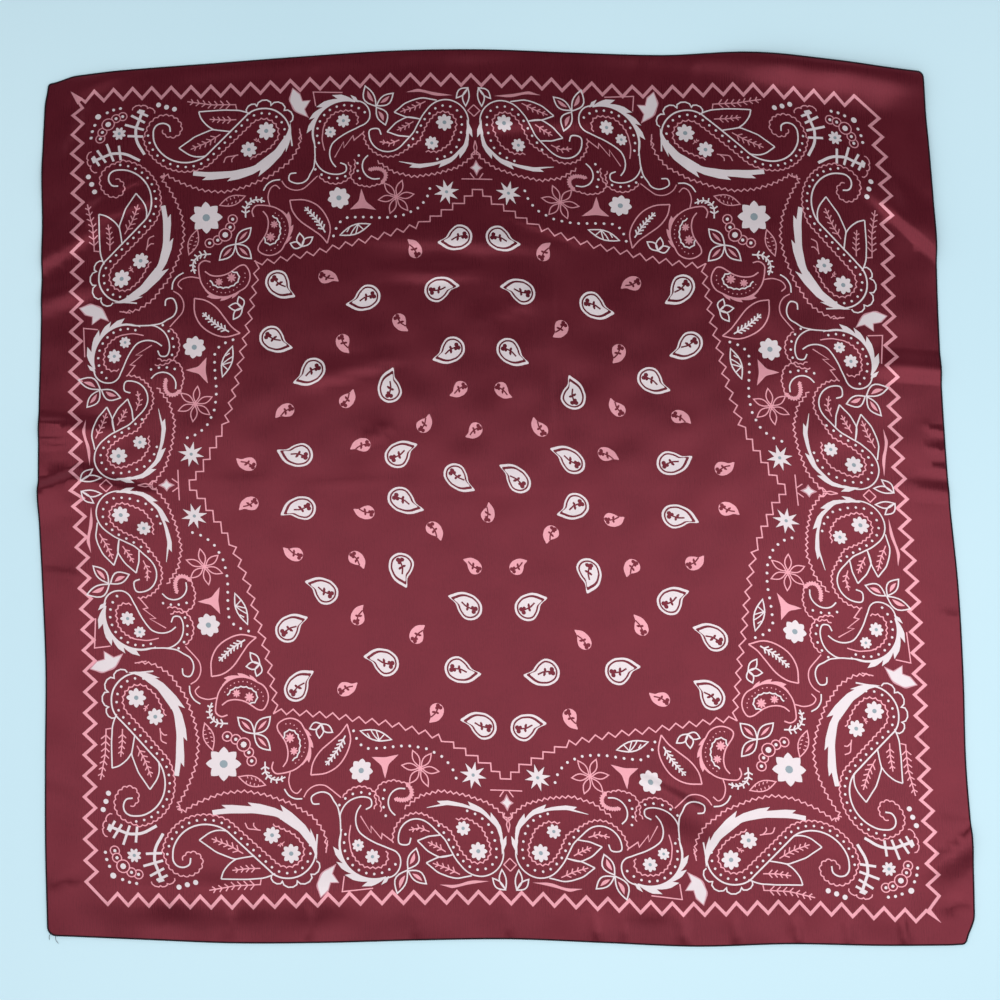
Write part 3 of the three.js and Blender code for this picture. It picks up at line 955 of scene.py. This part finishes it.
# %% The whole print
UPRIGHT, TURNED = ((1, 0), (0, 1)), ((-1, 0), (0, -1))
FOUR_WAYS = [((x, 0), (0, y)) for x in (1, -1) for y in (1, -1)]
SIDEWAYS = [((0, x), (y, 0)) for x in (1, -1) for y in (1, -1)]


def print_marks():
    """The whole print, each mark with the name of the part of the print that it belongs to."""
    parts = {
        "frame": frame_zigzag.stamped([UPRIGHT]), "rows": border.stamped(FOUR_WAYS),
        "columns": border.stamped(SIDEWAYS), "corners": corner.stamped(FOUR_WAYS),
        "field": (
            field.stamped(FOUR_WAYS) + middle_drops.stamped([UPRIGHT, TURNED]) + lone_drops.stamped([UPRIGHT])
        ),
    }
    return [(part, ink, outline) for part, marks in parts.items() for ink, outline in marks]


print("the print has", len(print_marks()), "outlines")

# %% [markdown]
# The drawing goes onto the flat cloth a little off its middle and a little turned, as a cheap print sits,
# and a few soft tugs say where the cloth was pulled while it was laid out. Then the cloth's face is meshed
# round the ink: every outline becomes a chain of edges, a grid of points gives the folds enough detail, and
# a Delaunay triangulation joins them all. Where a fold is steep, the grid also gets the points halfway
# between its own, so that the inks don't look jagged there. Nothing is painted: each triangle has one ink.

# %% The cloth's face as triangles
PRINT_TURN = np.array([(0.994, -0.0155), (-0.0156, 1.006)])
PRINT_PLACE = np.array([-4.14, 2.59])
TUGS = [
    # the part of the print or all its motifs, at x, y, how far it reaches, and the pull in x and y
    ("motifs", (-260, -260), 220, (0.2, -3.6)),
    ("motifs", (260, -230), 220, (2.0, -1.4)),
    ("motifs", (270, 230), 200, (1.6, 0.0)),
    ("motifs", (97, 255), 80, (0.0, -3.6)),
    ("motifs", (97, 110), 95, (0.0, -4.0)),
    ("motifs", (108, 62), 250, (-3.2, 0.0)),
    ("motifs", (31, 54), 60, (-2.0, 0.0)),
    ("motifs", (-54, -92), 210, (0.0, 3.4)),
    ("motifs", (-96, -108), 70, (0.0, 1.8)),
    ("motifs", (108, 247), 85, (2.6, -0.6)),
    ("motifs", (-208, -124), 150, (2.6, 0.0)),
    ("motifs", (108, 22), 50, (0.0, -3.0)),
    ("motifs", (-38, -8), 60, (2.0, 0.0)),
    ("motifs", (-100, -225), 90, (0.0, 2.6)),
    ("motifs", (108, -288), 80, (2.0, 0.0)),
    ("motifs", (58, -95), 100, (0.0, 2.4)),
    ("motifs", (-38, -50), 60, (1.8, 0.0)),
    ("motifs", (-289, -96), 50, (2.2, -1.4)),
    ("motifs", (-250, -212), 60, (-1.8, 0.6)),
    ("motifs", (289, 97), 75, (-0.8, 2.0)),
    ("motifs", (130, 235), 80, (1.2, 1.2)),
    ("motifs", (196, 254), 80, (3.0, 0.8)),
    ("motifs", (190, -270), 90, (1.3, 0.6)),
    ("columns", (-270, 155), 60, (-2.2, 0.8)),
    ("columns", (-290, 235), 170, (3.4, 2.2)),
    ("columns", (290, 235), 170, (0.8, 2.4)),
    ("columns", (-290, -235), 170, (2.4, -1.2)),
    ("columns", (290, -235), 170, (-1.0, -1.8)),
    ("corners", (-294, 294), 70, (2.6, 2.5)),
    ("corners", (294, 294), 70, (0.4, 1.9)),
    ("corners", (-294, -294), 70, (0.4, -2.0)),
    ("corners", (294, -294), 70, (0.6, -1.8)),
]
CELL = 6.0
STEEP, STEEP_REACH = 0.24, 1.5
CLOTH_INSET = 0.6
WELD = 0.02


def on_cloth(points, part):
    """From the drawing's millimetres to those of the flat cloth."""
    placed = points @ PRINT_TURN.T + PRINT_PLACE
    pulled = placed.copy()
    for tugged, (x, y), reach, pull in TUGS:
        if tugged == part or (tugged == "motifs" and part != "frame"):
            near = soft_bump(np.hypot(placed[:, 0] - x, placed[:, 1] - y) / reach)
            pulled += near[:, None] * np.array(pull)
    return pulled


marks = [(ink, on_cloth(outline, part)) for part, ink, outline in print_marks()]
reach = SIDE / 2 - CLOTH_INSET
lines = np.linspace(-reach, reach, round(2 * reach / CELL) + 1)
grid = np.stack([line.ravel() for line in np.meshgrid(lines, lines)], axis=1)
row = len(lines)
steps_along = np.arange(row - 1)
rim = np.concatenate([
    steps_along, steps_along * row + row - 1, row * row - 1 - steps_along, (row - 1 - steps_along) * row,
])
halfway = np.linspace(-reach, reach, 2 * row - 1)[1:-1]
halfway = np.stack([line.ravel() for line in np.meshgrid(halfway, halfway)], axis=1)
across = np.array((STEEP_REACH, STEEP_REACH))
rise = top_at(lay_out(halfway) + across) - top_at(lay_out(halfway) - across)
halfway = halfway[np.abs(rise) > STEEP]
chains, links = [grid, halfway], [np.stack([rim, np.roll(rim, -1)], axis=1)]
filled = len(grid) + len(halfway)
for ink, outline in marks:
    numbers = np.arange(len(outline))
    chains.append(outline)
    links.append(np.stack([filled + numbers, filled + (numbers + 1) % len(outline)], axis=1))
    filled += len(outline)
found = delaunay_2d_cdt(
    [Vector(point) for point in np.vstack(chains)], np.vstack(links).tolist(), [], 0, WELD, True,
)
face_flat = np.array([point[:] for point in found[0]])
triangles = np.array([list(face) for face in found[2]])
rim_place = {given: number for number, origins in enumerate(found[3]) for given in origins}
face_rim = np.array([rim_place[number] for number in rim.tolist()])
print("the face has", len(face_flat), "points and", len(triangles), "triangles")

# %% [markdown]
# A triangle takes the ink of the last outline that its middle lies in, as on the real cloth, where the
# later ink covers the earlier one. A point is inside an outline if the outline winds round it.

# %% Inking the triangles
middles = face_flat[triangles].mean(axis=1)
order = np.argsort(middles[:, 0])
sorted_x = middles[order, 0]
inks = np.zeros(len(triangles), int)
for ink, outline in marks:
    low, high = outline.min(axis=0), outline.max(axis=0)
    first, last = np.searchsorted(sorted_x, [low[0], high[0]])
    near = order[first:last]
    near = near[(middles[near, 1] >= low[1]) & (middles[near, 1] <= high[1])]
    x, y = middles[near].T
    start, end = outline, np.roll(outline, -1, axis=0)
    upward = (start[:, 1, None] <= y) & (end[:, 1, None] > y)
    downward = (start[:, 1, None] > y) & (end[:, 1, None] <= y)
    way_x, way_y = (end - start).T[:, :, None]
    side = way_x * (y - start[:, 1, None]) - way_y * (x - start[:, 0, None])
    winding = (upward & (side > 0)).sum(axis=0) - (downward & (side < 0)).sum(axis=0)
    inks[near[winding != 0]] = ink
for ink, name in enumerate(INK_NAMES):
    print(name, int((inks == ink).sum()), "triangles")

# %% [markdown]
# The underside needs only a plain grid, whose rim has the same steps as the face's rim, and a thin wall
# joins the two. The underside follows the large folds a shade lower than the face does, so that its coarse
# grid never comes through the face. Smooth shading takes each point's normal from the folds themselves and
# not from the long thin triangles between the inks, so that the gloss runs evenly over the whole cloth.

# %% The whole cloth
UNDER_EASE = 0.93
SLOPE_STEP = 0.4


def normals_at(plan, height_at):
    """The upward normal of a height over the table."""
    slope = [
        (height_at(plan + np.array(step)) - height_at(plan - np.array(step))) / (2 * SLOPE_STEP)
        for step in ((SLOPE_STEP, 0), (0, SLOPE_STEP))
    ]
    normal = np.column_stack([-slope[0], -slope[1], np.ones(len(plan))])
    return normal / np.linalg.norm(normal, axis=1)[:, None]


face_plan, under_plan = lay_out(face_flat), lay_out(grid)
verts = MM * np.vstack([
    np.column_stack([face_plan, top_at(face_plan, off_edge(face_flat))]),
    np.column_stack([under_plan, under_at(under_plan) * UNDER_EASE]),
])
normals_of_cloth = np.vstack([normals_at(face_plan, top_at), -normals_at(under_plan, under_at)])
near_left = (steps_along[:, None] * row + steps_along).ravel() + len(face_flat)
under_faces = np.stack([near_left, near_left + row, near_left + row + 1, near_left + 1], axis=1)
under_rim = rim + len(face_flat)
wall_faces = np.stack([face_rim, under_rim, np.roll(under_rim, -1), np.roll(face_rim, -1)], axis=1)
cloth_mesh = bpy.data.meshes.new("bandana_cloth")
cloth_mesh.from_pydata(verts.tolist(), [], triangles.tolist() + under_faces.tolist() + wall_faces.tolist())
cloth = bpy.data.objects.new("bandana_cloth", cloth_mesh)
bpy.context.scene.collection.objects.link(cloth)
plain = np.full(len(under_faces) + len(wall_faces), GROUND)
cloth_mesh.polygons.foreach_set("material_index", np.concatenate([inks, plain]))
cloth_mesh.polygons.foreach_set("use_smooth", np.ones(len(cloth_mesh.polygons), bool))
cloth_mesh.normals_split_custom_set_from_vertices(normals_of_cloth.tolist())
print("cloth:", len(triangles) + 2 * len(under_faces) + 2 * len(wall_faces), "triangles")

# %% [markdown]
# The cloth carries two maps. One holds each point's place on the flat cloth in metres, so that the weave
# follows the cloth when it is moved or exported. The other is for baking: each ink has its own square of
# the image, so that no ink's colour can run into its neighbour when the image is small.

# %% The cloth's two maps
BAKE_SQUARES = {
    GROUND: (0.004, 0.004, 0.66), ROSE: (0.672, 0.004, 0.32), WHITE: (0.672, 0.332, 0.32),
    GREY: (0.672, 0.66, 0.1), BLUSH: (0.78, 0.66, 0.1),
}
UNDER_SQUARE = (0.004, 0.672, 0.32)
loop_verts = np.zeros(len(cloth_mesh.loops), int)
cloth_mesh.loops.foreach_get("vertex_index", loop_verts)
flat_of_loops = np.vstack([face_flat, grid])[loop_verts]
weave_map = cloth_mesh.uv_layers.new(name="FlatCloth")
weave_map.data.foreach_set("uv", (flat_of_loops * MM).ravel())
squares = np.array([BAKE_SQUARES[ink] for ink in range(len(INK_NAMES))] + [UNDER_SQUARE])
face_loops = np.repeat(inks, 3)
plain_loops = np.full(len(loop_verts) - len(face_loops), len(INK_NAMES))
chosen = squares[np.concatenate([face_loops, plain_loops])]
spread = np.where(loop_verts < len(face_flat), 1.0, 0.985)[:, None]
spread[:len(face_loops)] = 1.0
bake_map = cloth_mesh.uv_layers.new(name="OFBake")
in_square = flat_of_loops / SIDE * spread + 0.5
bake_map.data.foreach_set("uv", (chosen[:, :2] + in_square * chosen[:, 2:]).ravel())
cloth_mesh.uv_layers.active = weave_map
print("maps:", ", ".join(layer.name for layer in cloth_mesh.uv_layers))

# %% [markdown]
# Shader maths reads best as maths. This small class wraps a socket, so that an expression such as
# 1 - mask * 0.2 adds its own Math nodes. Any other node comes from the one method that makes nodes.

# %% A small language for shaders
class Signal:
    """A socket of a shader that can be added to, multiplied and so on."""

    def __init__(self, finish, socket):
        self.finish, self.socket = finish, socket

    def _math(self, operation, first, second):
        made = self.finish.node("ShaderNodeMath", {"operation": operation}, {0: first, 1: second})
        return Signal(self.finish, made.outputs[0])

    def __add__(self, other):
        return self._math("ADD", self, other)

    def __radd__(self, other):
        return self._math("ADD", other, self)

    def __sub__(self, other):
        return self._math("SUBTRACT", self, other)

    def __rsub__(self, other):
        return self._math("SUBTRACT", other, self)

    def __mul__(self, other):
        return self._math("MULTIPLY", self, other)

    def __rmul__(self, other):
        return self._math("MULTIPLY", other, self)


class Bench:
    """A tree of shader nodes and the one way that nodes are made in it."""

    def __init__(self, tree):
        self.tree = tree

    def join(self, value, inlet):
        """Sets a socket's value, or links another socket to it."""
        if isinstance(value, Signal):
            value = value.socket
        if isinstance(value, bpy.types.NodeSocket):
            self.tree.links.new(value, inlet)
        else:
            inlet.default_value = value

    def node(self, kind, settings=None, sockets=None):
        """A node of a kind. Its settings are set first, then the values or links of its sockets."""
        made = self.tree.nodes.new(kind)
        for name, value in (settings or {}).items():
            setattr(made, name, value)
        for name, value in (sockets or {}).items():
            self.join(value, made.inputs[name])
        return made

    def step(self, value, low, high):
        """0 below low and 1 above high, with a soft change between."""
        sockets = {"Value": value, "From Min": low, "From Max": high}
        made = self.node("ShaderNodeMapRange", {"interpolation_type": "SMOOTHSTEP"}, sockets)
        return Signal(self, made.outputs["Result"])

    def blend(self, share, first, second):
        """A colour between two colours."""
        made = self.node("ShaderNodeMix", {"data_type": "RGBA"}, {0: share, 6: first, 7: second})
        return made.outputs[2]


class Finish(Bench):
    """One material: a Principled shader and the nodes that drive it."""

    def __init__(self, name, **settings):
        self.material = bpy.data.materials.new(name)
        self.material.use_nodes = True
        super().__init__(self.material.node_tree)
        self.shader = self.tree.nodes["Principled BSDF"]
        for socket, value in settings.items():
            self.shader.inputs[socket.replace("_", " ")].default_value = value

    def place(self, map_name=None, stretch=(1, 1, 1), turn=0.0):
        """Where a point is, on the piece's own map or in space, stretched for a texture."""
        if map_name:
            spot = self.node("ShaderNodeUVMap", {"uv_map": map_name}).outputs["UV"]
        else:
            spot = self.node("ShaderNodeTexCoord").outputs["Object"]
        sockets = {"Vector": spot, "Scale": stretch, "Rotation": (0, 0, turn)}
        return self.node("ShaderNodeMapping", {"vector_type": "POINT"}, sockets).outputs["Vector"]

    def noise(self, spot, scale, detail=2.0, roughness=0.5):
        sockets = {"Vector": spot, "Scale": scale, "Detail": detail, "Roughness": roughness}
        return Signal(self, self.node("ShaderNodeTexNoise", {}, sockets).outputs["Fac"])

    def bump(self, height, strength, distance):
        sockets = {"Height": height, "Strength": strength, "Distance": distance}
        return self.node("ShaderNodeBump", {}, sockets).outputs["Normal"]

    def feed(self, socket, value):
        self.join(value, self.shader.inputs[socket])


def linear(red, green, blue):
    """A shader colour from the 0 to 255 numbers of a colour chart."""
    return tuple(
        level / 12.92 if level <= 0.04045 else ((level + 0.055) / 1.055) ** 2.4
        for level in (red / 255, green / 255, blue / 255)
    ) + (1.0,)


print("burgundy in shader numbers:", tuple(round(level, 3) for level in linear(107, 39, 51)[:3]))

# %% [markdown]
# Satin is smooth along its floating threads: it has a broad, soft gloss. Its threads are far too fine to
# see one by one from here, but they leave faint streaks both ways, and the dye is a little uneven, in large
# soft clouds and in small specks. Every ink lies in the same cloth, so one recipe finishes them all. A dyed
# satin tints what it mirrors, so each finish is partly metallic: that gives the shine the ink's own colour.

# %% The satin and its inks
INK_COLOURS = {
    GROUND: ((86, 23, 36), (109, 35, 48)),
    ROSE: ((200, 136, 147), (216, 152, 163)),
    WHITE: ((205, 194, 198), (215, 204, 208)),
    GREY: ((126, 140, 148), (142, 155, 162)),
    BLUSH: ((182, 130, 142), (196, 146, 156)),
}
INK_GLOSS = {GROUND: 0.28, ROSE: 0.34, WHITE: 0.42, GREY: 0.42, BLUSH: 0.4}
INK_TINTED_SHINE = {GROUND: 0.5, ROSE: 0.48, WHITE: 0.44, GREY: 0.44, BLUSH: 0.4}


def satin_finish(ink):
    dark, bright = (linear(*colour) for colour in INK_COLOURS[ink])
    finish = Finish("satin " + INK_NAMES[ink], Specular_IOR_Level=0.22, Metallic=INK_TINTED_SHINE[ink])
    clouds = finish.noise(finish.place("FlatCloth"), 22.0, 3.0, 0.6)
    specks = finish.noise(finish.place("FlatCloth", (1, 0.45, 1)), 900.0, 2.0, 0.6)
    warp = finish.noise(finish.place("FlatCloth", (3200, 60, 1)), 1.0, 2.0, 0.6)
    weft = finish.noise(finish.place("FlatCloth", (80, 2600, 1)), 1.0, 2.0, 0.6)
    dye = clouds * 0.75 + specks * 0.7 + (warp + weft) * 0.25 - 0.45
    finish.feed("Base Color", finish.blend(dye, dark, bright))
    finish.feed("Roughness", INK_GLOSS[ink] - 0.06 + clouds * 0.06 + warp * 0.06)
    finish.feed("Normal", finish.bump(warp * 0.6 + weft * 0.4 + specks * 0.5, 0.25, 0.00006))
    return finish.material


for ink in range(len(INK_NAMES)):
    cloth_mesh.materials.append(satin_finish(ink))
print("cloth finishes:", ", ".join(material.name for material in cloth_mesh.materials))

# %% [markdown]
# The edge of a bandana is overlocked: the cut edge is rolled and bound by a dark thread that wraps round it
# every millimetre and a half. The bead is a thin tube along the four sides, and each stitch is a slanted
# loop of thread round it. A single loop is made once, as a ring of a few dozen faces, and placed along the
# path by numbers, because nearly two thousand of them go round the cloth.

# %% The path of the edge
EDGE_INSET = 0.6
BEAD_HALF_WIDE, BEAD_HALF_HIGH, BEAD_MIDDLE = 0.52, 0.42, 0.6
EDGE_STEPS, BEAD_SIDES = 350, 8
STITCH_EVERY = 1.4
THREAD = 0.15
edge_reach = SIDE / 2 - EDGE_INSET
fine = np.linspace(-edge_reach, edge_reach, 4 * EDGE_STEPS + 1)[:-1]
ends = np.full(4 * EDGE_STEPS, edge_reach)
square = np.vstack([
    np.column_stack([fine, -ends]), np.column_stack([ends, fine]),
    np.column_stack([-fine, ends]), np.column_stack([-ends, -fine]),
])
edge_plan = lay_out(square)
edge_loop = np.vstack([edge_plan, edge_plan[:1]])
edge_length = length_of(edge_loop)


def edge_frames(count):
    """Evenly spaced places along the edge, with the ways along it, outwards and up."""
    place = resample(edge_loop, count + 1)[:-1]
    ahead = np.roll(place, -1, axis=0) - np.roll(place, 1, axis=0)
    ahead /= np.hypot(*ahead.T)[:, None]
    outward = np.column_stack([ahead[:, 1], -ahead[:, 0], np.zeros(count)])
    height = under_at(place)
    return np.column_stack([place, height]), np.column_stack([ahead, np.zeros(count)]), outward


print("the edge is", round(edge_length), "mm long")

# %% [markdown]
# Rings of points along a path, joined to one another, give both the bead and a single loop of thread. The
# loops differ a little in their slant, as hand-fed sewing does. At the near left corner the ends of two
# threads stick out, because nobody trimmed them.

# %% The bead and its stitches
def tube(place, ahead, outward, section):
    """Rings of points round places, from a section given as outward and up."""
    up = np.array([0, 0, 1.0])
    return place[:, None] + outward[:, None] * section[:, :1] + up * section[:, 1:2]


def rings_to_faces(rings, sides, start):
    """Quads that join rings of points, each ring to the next one round a loop."""
    ring = np.arange(rings)[:, None]
    side = np.arange(sides)[None, :]
    after, beside = (ring + 1) % rings, (side + 1) % sides
    faces = np.stack([
        ring * sides + side, ring * sides + beside, after * sides + beside, after * sides + side,
    ], axis=-1)
    return faces.reshape(-1, 4) + start


bead_turn = np.linspace(0, 2 * np.pi, BEAD_SIDES, endpoint=False)
bead_section = np.column_stack([
    BEAD_HALF_WIDE * np.cos(bead_turn), BEAD_MIDDLE + BEAD_HALF_HIGH * np.sin(bead_turn),
])
bead_points = tube(*edge_frames(4 * EDGE_STEPS), bead_section).reshape(-1, 3)
bead_faces = rings_to_faces(4 * EDGE_STEPS, BEAD_SIDES, 0)[:, ::-1]

LOOP_POINTS, THREAD_SIDES, END_POINTS = 8, 4, 12
stitches = round(edge_length / STITCH_EVERY)
place, ahead, outward = edge_frames(stitches)
rng = np.random.default_rng(7)
slant = 0.42 + rng.uniform(-0.1, 0.1, stitches)
turn = np.linspace(0, 2 * np.pi, LOOP_POINTS, endpoint=False)
loop_wide, loop_high = 0.54, BEAD_MIDDLE - THREAD
up = np.array([0, 0, 1.0])
stitch_points = []
for angle in turn:
    middle = (
        place + up * BEAD_MIDDLE + outward * loop_wide * np.cos(angle) + up * loop_high * np.sin(angle)
        + ahead * (slant * np.cos(angle))[:, None]
    )
    away = outward * np.cos(angle) + up * np.sin(angle)
    for corner_turn in np.linspace(0, 2 * np.pi, THREAD_SIDES, endpoint=False):
        round_thread = away * np.cos(corner_turn) + ahead * 1.5 * np.sin(corner_turn)
        stitch_points.append(middle + THREAD * round_thread)
stitch_points = np.stack(stitch_points, axis=1).reshape(-1, 3)
one_loop = rings_to_faces(LOOP_POINTS, THREAD_SIDES, 0)
size = LOOP_POINTS * THREAD_SIDES
first_points = len(bead_points) + np.arange(stitches) * size
stitch_faces = (one_loop[None] + first_points[:, None, None]).reshape(-1, 4)
edge_points, edge_faces = [bead_points, stitch_points], [bead_faces, stitch_faces]
for loose_end in (
    [(-331, -337), (-332.4, -339.6), (-332.2, -342.2), (-330.2, -344.6)],
    [(-335.4, -336.8), (-337.4, -339.2), (-337, -341.8)],
):
    walk = resample(fair(*loose_end), END_POINTS)
    ahead = np.gradient(walk, axis=0)
    ahead /= np.hypot(*ahead.T)[:, None]
    flat_zero = np.zeros((END_POINTS, 1))
    outward = np.hstack([ahead[:, 1:], -ahead[:, :1], flat_zero])
    section = THREAD * np.array([(1, 1), (0, 2), (-1, 1), (0, 0)])
    filled = sum(len(points) for points in edge_points)
    edge_faces.append(rings_to_faces(END_POINTS, THREAD_SIDES, filled)[:-THREAD_SIDES, ::-1])
    edge_points.append(tube(np.hstack([walk, flat_zero]), ahead, outward, section).reshape(-1, 3))
edge_mesh = bpy.data.meshes.new("overlocked_edge")
edge_mesh.from_pydata((MM * np.vstack(edge_points)).tolist(), [], np.vstack(edge_faces).tolist())
edge_mesh.polygons.foreach_set("use_smooth", np.ones(len(edge_mesh.polygons), bool))
edge_mesh.update()
edge = bpy.data.objects.new("overlocked_edge", edge_mesh)
bpy.context.scene.collection.objects.link(edge)
print("edge:", stitches, "stitches,", 2 * len(edge_mesh.polygons), "triangles")

# %% [markdown]
# The overlocking thread is spun polyester, almost black with a blue cast. It is duller than the satin, and
# its twist shows as fine slanting lines.

# %% The thread's finish
def thread_finish():
    finish = Finish("overlocking thread", Specular_IOR_Level=0.15)
    twist = finish.noise(finish.place(stretch=(1, 3, 3), turn=0.8), 2400.0, 2.0, 0.6)
    patches = finish.noise(finish.place(turn=0.6), 60.0, 2.0, 0.5)
    dye = finish.blend(patches * 0.6 + twist * 0.4, linear(9, 5, 13), linear(26, 14, 26))
    finish.feed("Base Color", dye)
    finish.feed("Roughness", 0.55 + twist * 0.2)
    finish.feed("Normal", finish.bump(twist, 0.5, 0.0001))
    return finish.material


edge_mesh.materials.append(thread_finish())
print("thread:", edge_mesh.materials[0].name)

# %% [markdown]
# The bandana lies on a plain pale blue table. The floor is one wide square just under it, with an even,
# dull finish, so that it stays in the background.

# %% The table
bpy.ops.mesh.primitive_plane_add(size=8, location=(0, 0, 0))
table = bpy.context.object
table.name = "pale_table"
table.location.z = -0.0003
table_finish = Finish("pale blue table", Specular_IOR_Level=0.1, Roughness=0.9)
broad = table_finish.noise(table_finish.place(), 2.2, 1.0, 0.4)
table_finish.feed("Base Color", table_finish.blend(broad, linear(190, 220, 232), linear(208, 234, 243)))
table.data.materials.append(table_finish.material)
bpy.ops.object.select_all(action="DESELECT")
print("table side:", table.dimensions.x, "m")

# %% [markdown]
# The light is a soft studio light. The pale walls of the room light the cloth evenly from all sides, but the
# ceiling is dark, and a camera that looks straight down sees the ceiling mirrored in the satin. A long soft
# panel hangs over the near half of the cloth: where the satin mirrors it, the dye glows, and where it
# mirrors the dark ceiling, on the far side, the cloth stays deep. So the light makes the change of tone. A
# smaller, weaker panel at the right, a little lower, stands for a window and brightens that side.

# %% The lights
def panel(name, place, aim, size, power, colour=(1, 1, 1)):
    light = bpy.data.lights.new(name, "AREA")
    light.shape = "RECTANGLE"
    light.size, light.size_y = size
    light.energy = power
    light.color = colour
    holder = bpy.data.objects.new(name, light)
    bpy.context.scene.collection.objects.link(holder)
    holder.location = place
    holder.rotation_euler = (Vector(aim) - Vector(place)).to_track_quat("-Z", "Y").to_euler()
    return holder


PANEL_GLOW = 2.2
PANEL_SIZE = (2.2, 1.04)
panel(
    "satin panel", (0.11, -0.27, 1.4), (0.11, -0.27, 0), PANEL_SIZE,
    PANEL_GLOW * np.pi * PANEL_SIZE[0] * PANEL_SIZE[1], (1.0, 0.99, 0.98),
)
SIDE_GLOW = 0.64
SIDE_SIZE = (0.9, 1.2)
panel(
    "window panel", (0.86, -0.22, 1.3), (0.86, -0.22, 0), SIDE_SIZE,
    SIDE_GLOW * np.pi * SIDE_SIZE[0] * SIDE_SIZE[1], (0.97, 0.99, 1.0),
)
room = bpy.data.worlds.new("pale room")
bpy.context.scene.world = room
room.use_nodes = True
walls = Bench(room.node_tree)
facing = walls.node("ShaderNodeTexCoord").outputs["Generated"]
height = Signal(walls, walls.node("ShaderNodeSeparateXYZ", {}, {"Vector": facing}).outputs["Z"])
ceiling = walls.step(height, 0.55, 0.85)
backdrop = room.node_tree.nodes["Background"]
backdrop.inputs["Color"].default_value = (0.93, 0.97, 1.0, 1)
walls.join(1.06 - ceiling * 1.04, backdrop.inputs["Strength"])
print("lights:", ", ".join(thing.name for thing in bpy.data.objects if thing.type == "LIGHT"))

# %% [markdown]
# The camera stands about a metre above the cloth and looks almost straight down, tilted a little from the
# near side, as the photograph was taken.

# %% The camera
TILT = np.radians(4.5)
DISTANCE = 1.068
AIM = Vector((0.0010, -0.0110, 0.0))
lens = bpy.data.cameras.new("camera")
lens.lens, lens.sensor_width = 50, 36
camera = bpy.data.objects.new("camera", lens)
bpy.context.scene.collection.objects.link(camera)
camera.location = AIM + DISTANCE * Vector((0, -np.sin(TILT), np.cos(TILT)))
camera.rotation_euler = (TILT, 0, 0)
bpy.context.scene.camera = camera
bpy.context.scene.view_settings.view_transform = "Standard"
print("camera height:", round(camera.location.z, 3), "m")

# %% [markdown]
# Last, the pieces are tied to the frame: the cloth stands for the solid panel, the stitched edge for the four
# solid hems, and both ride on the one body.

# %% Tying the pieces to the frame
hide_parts("cloth_panel")
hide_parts("hem_bottom", "hem_right", "hem_top", "hem_left")
for piece in (cloth, edge):
    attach(piece, "root")
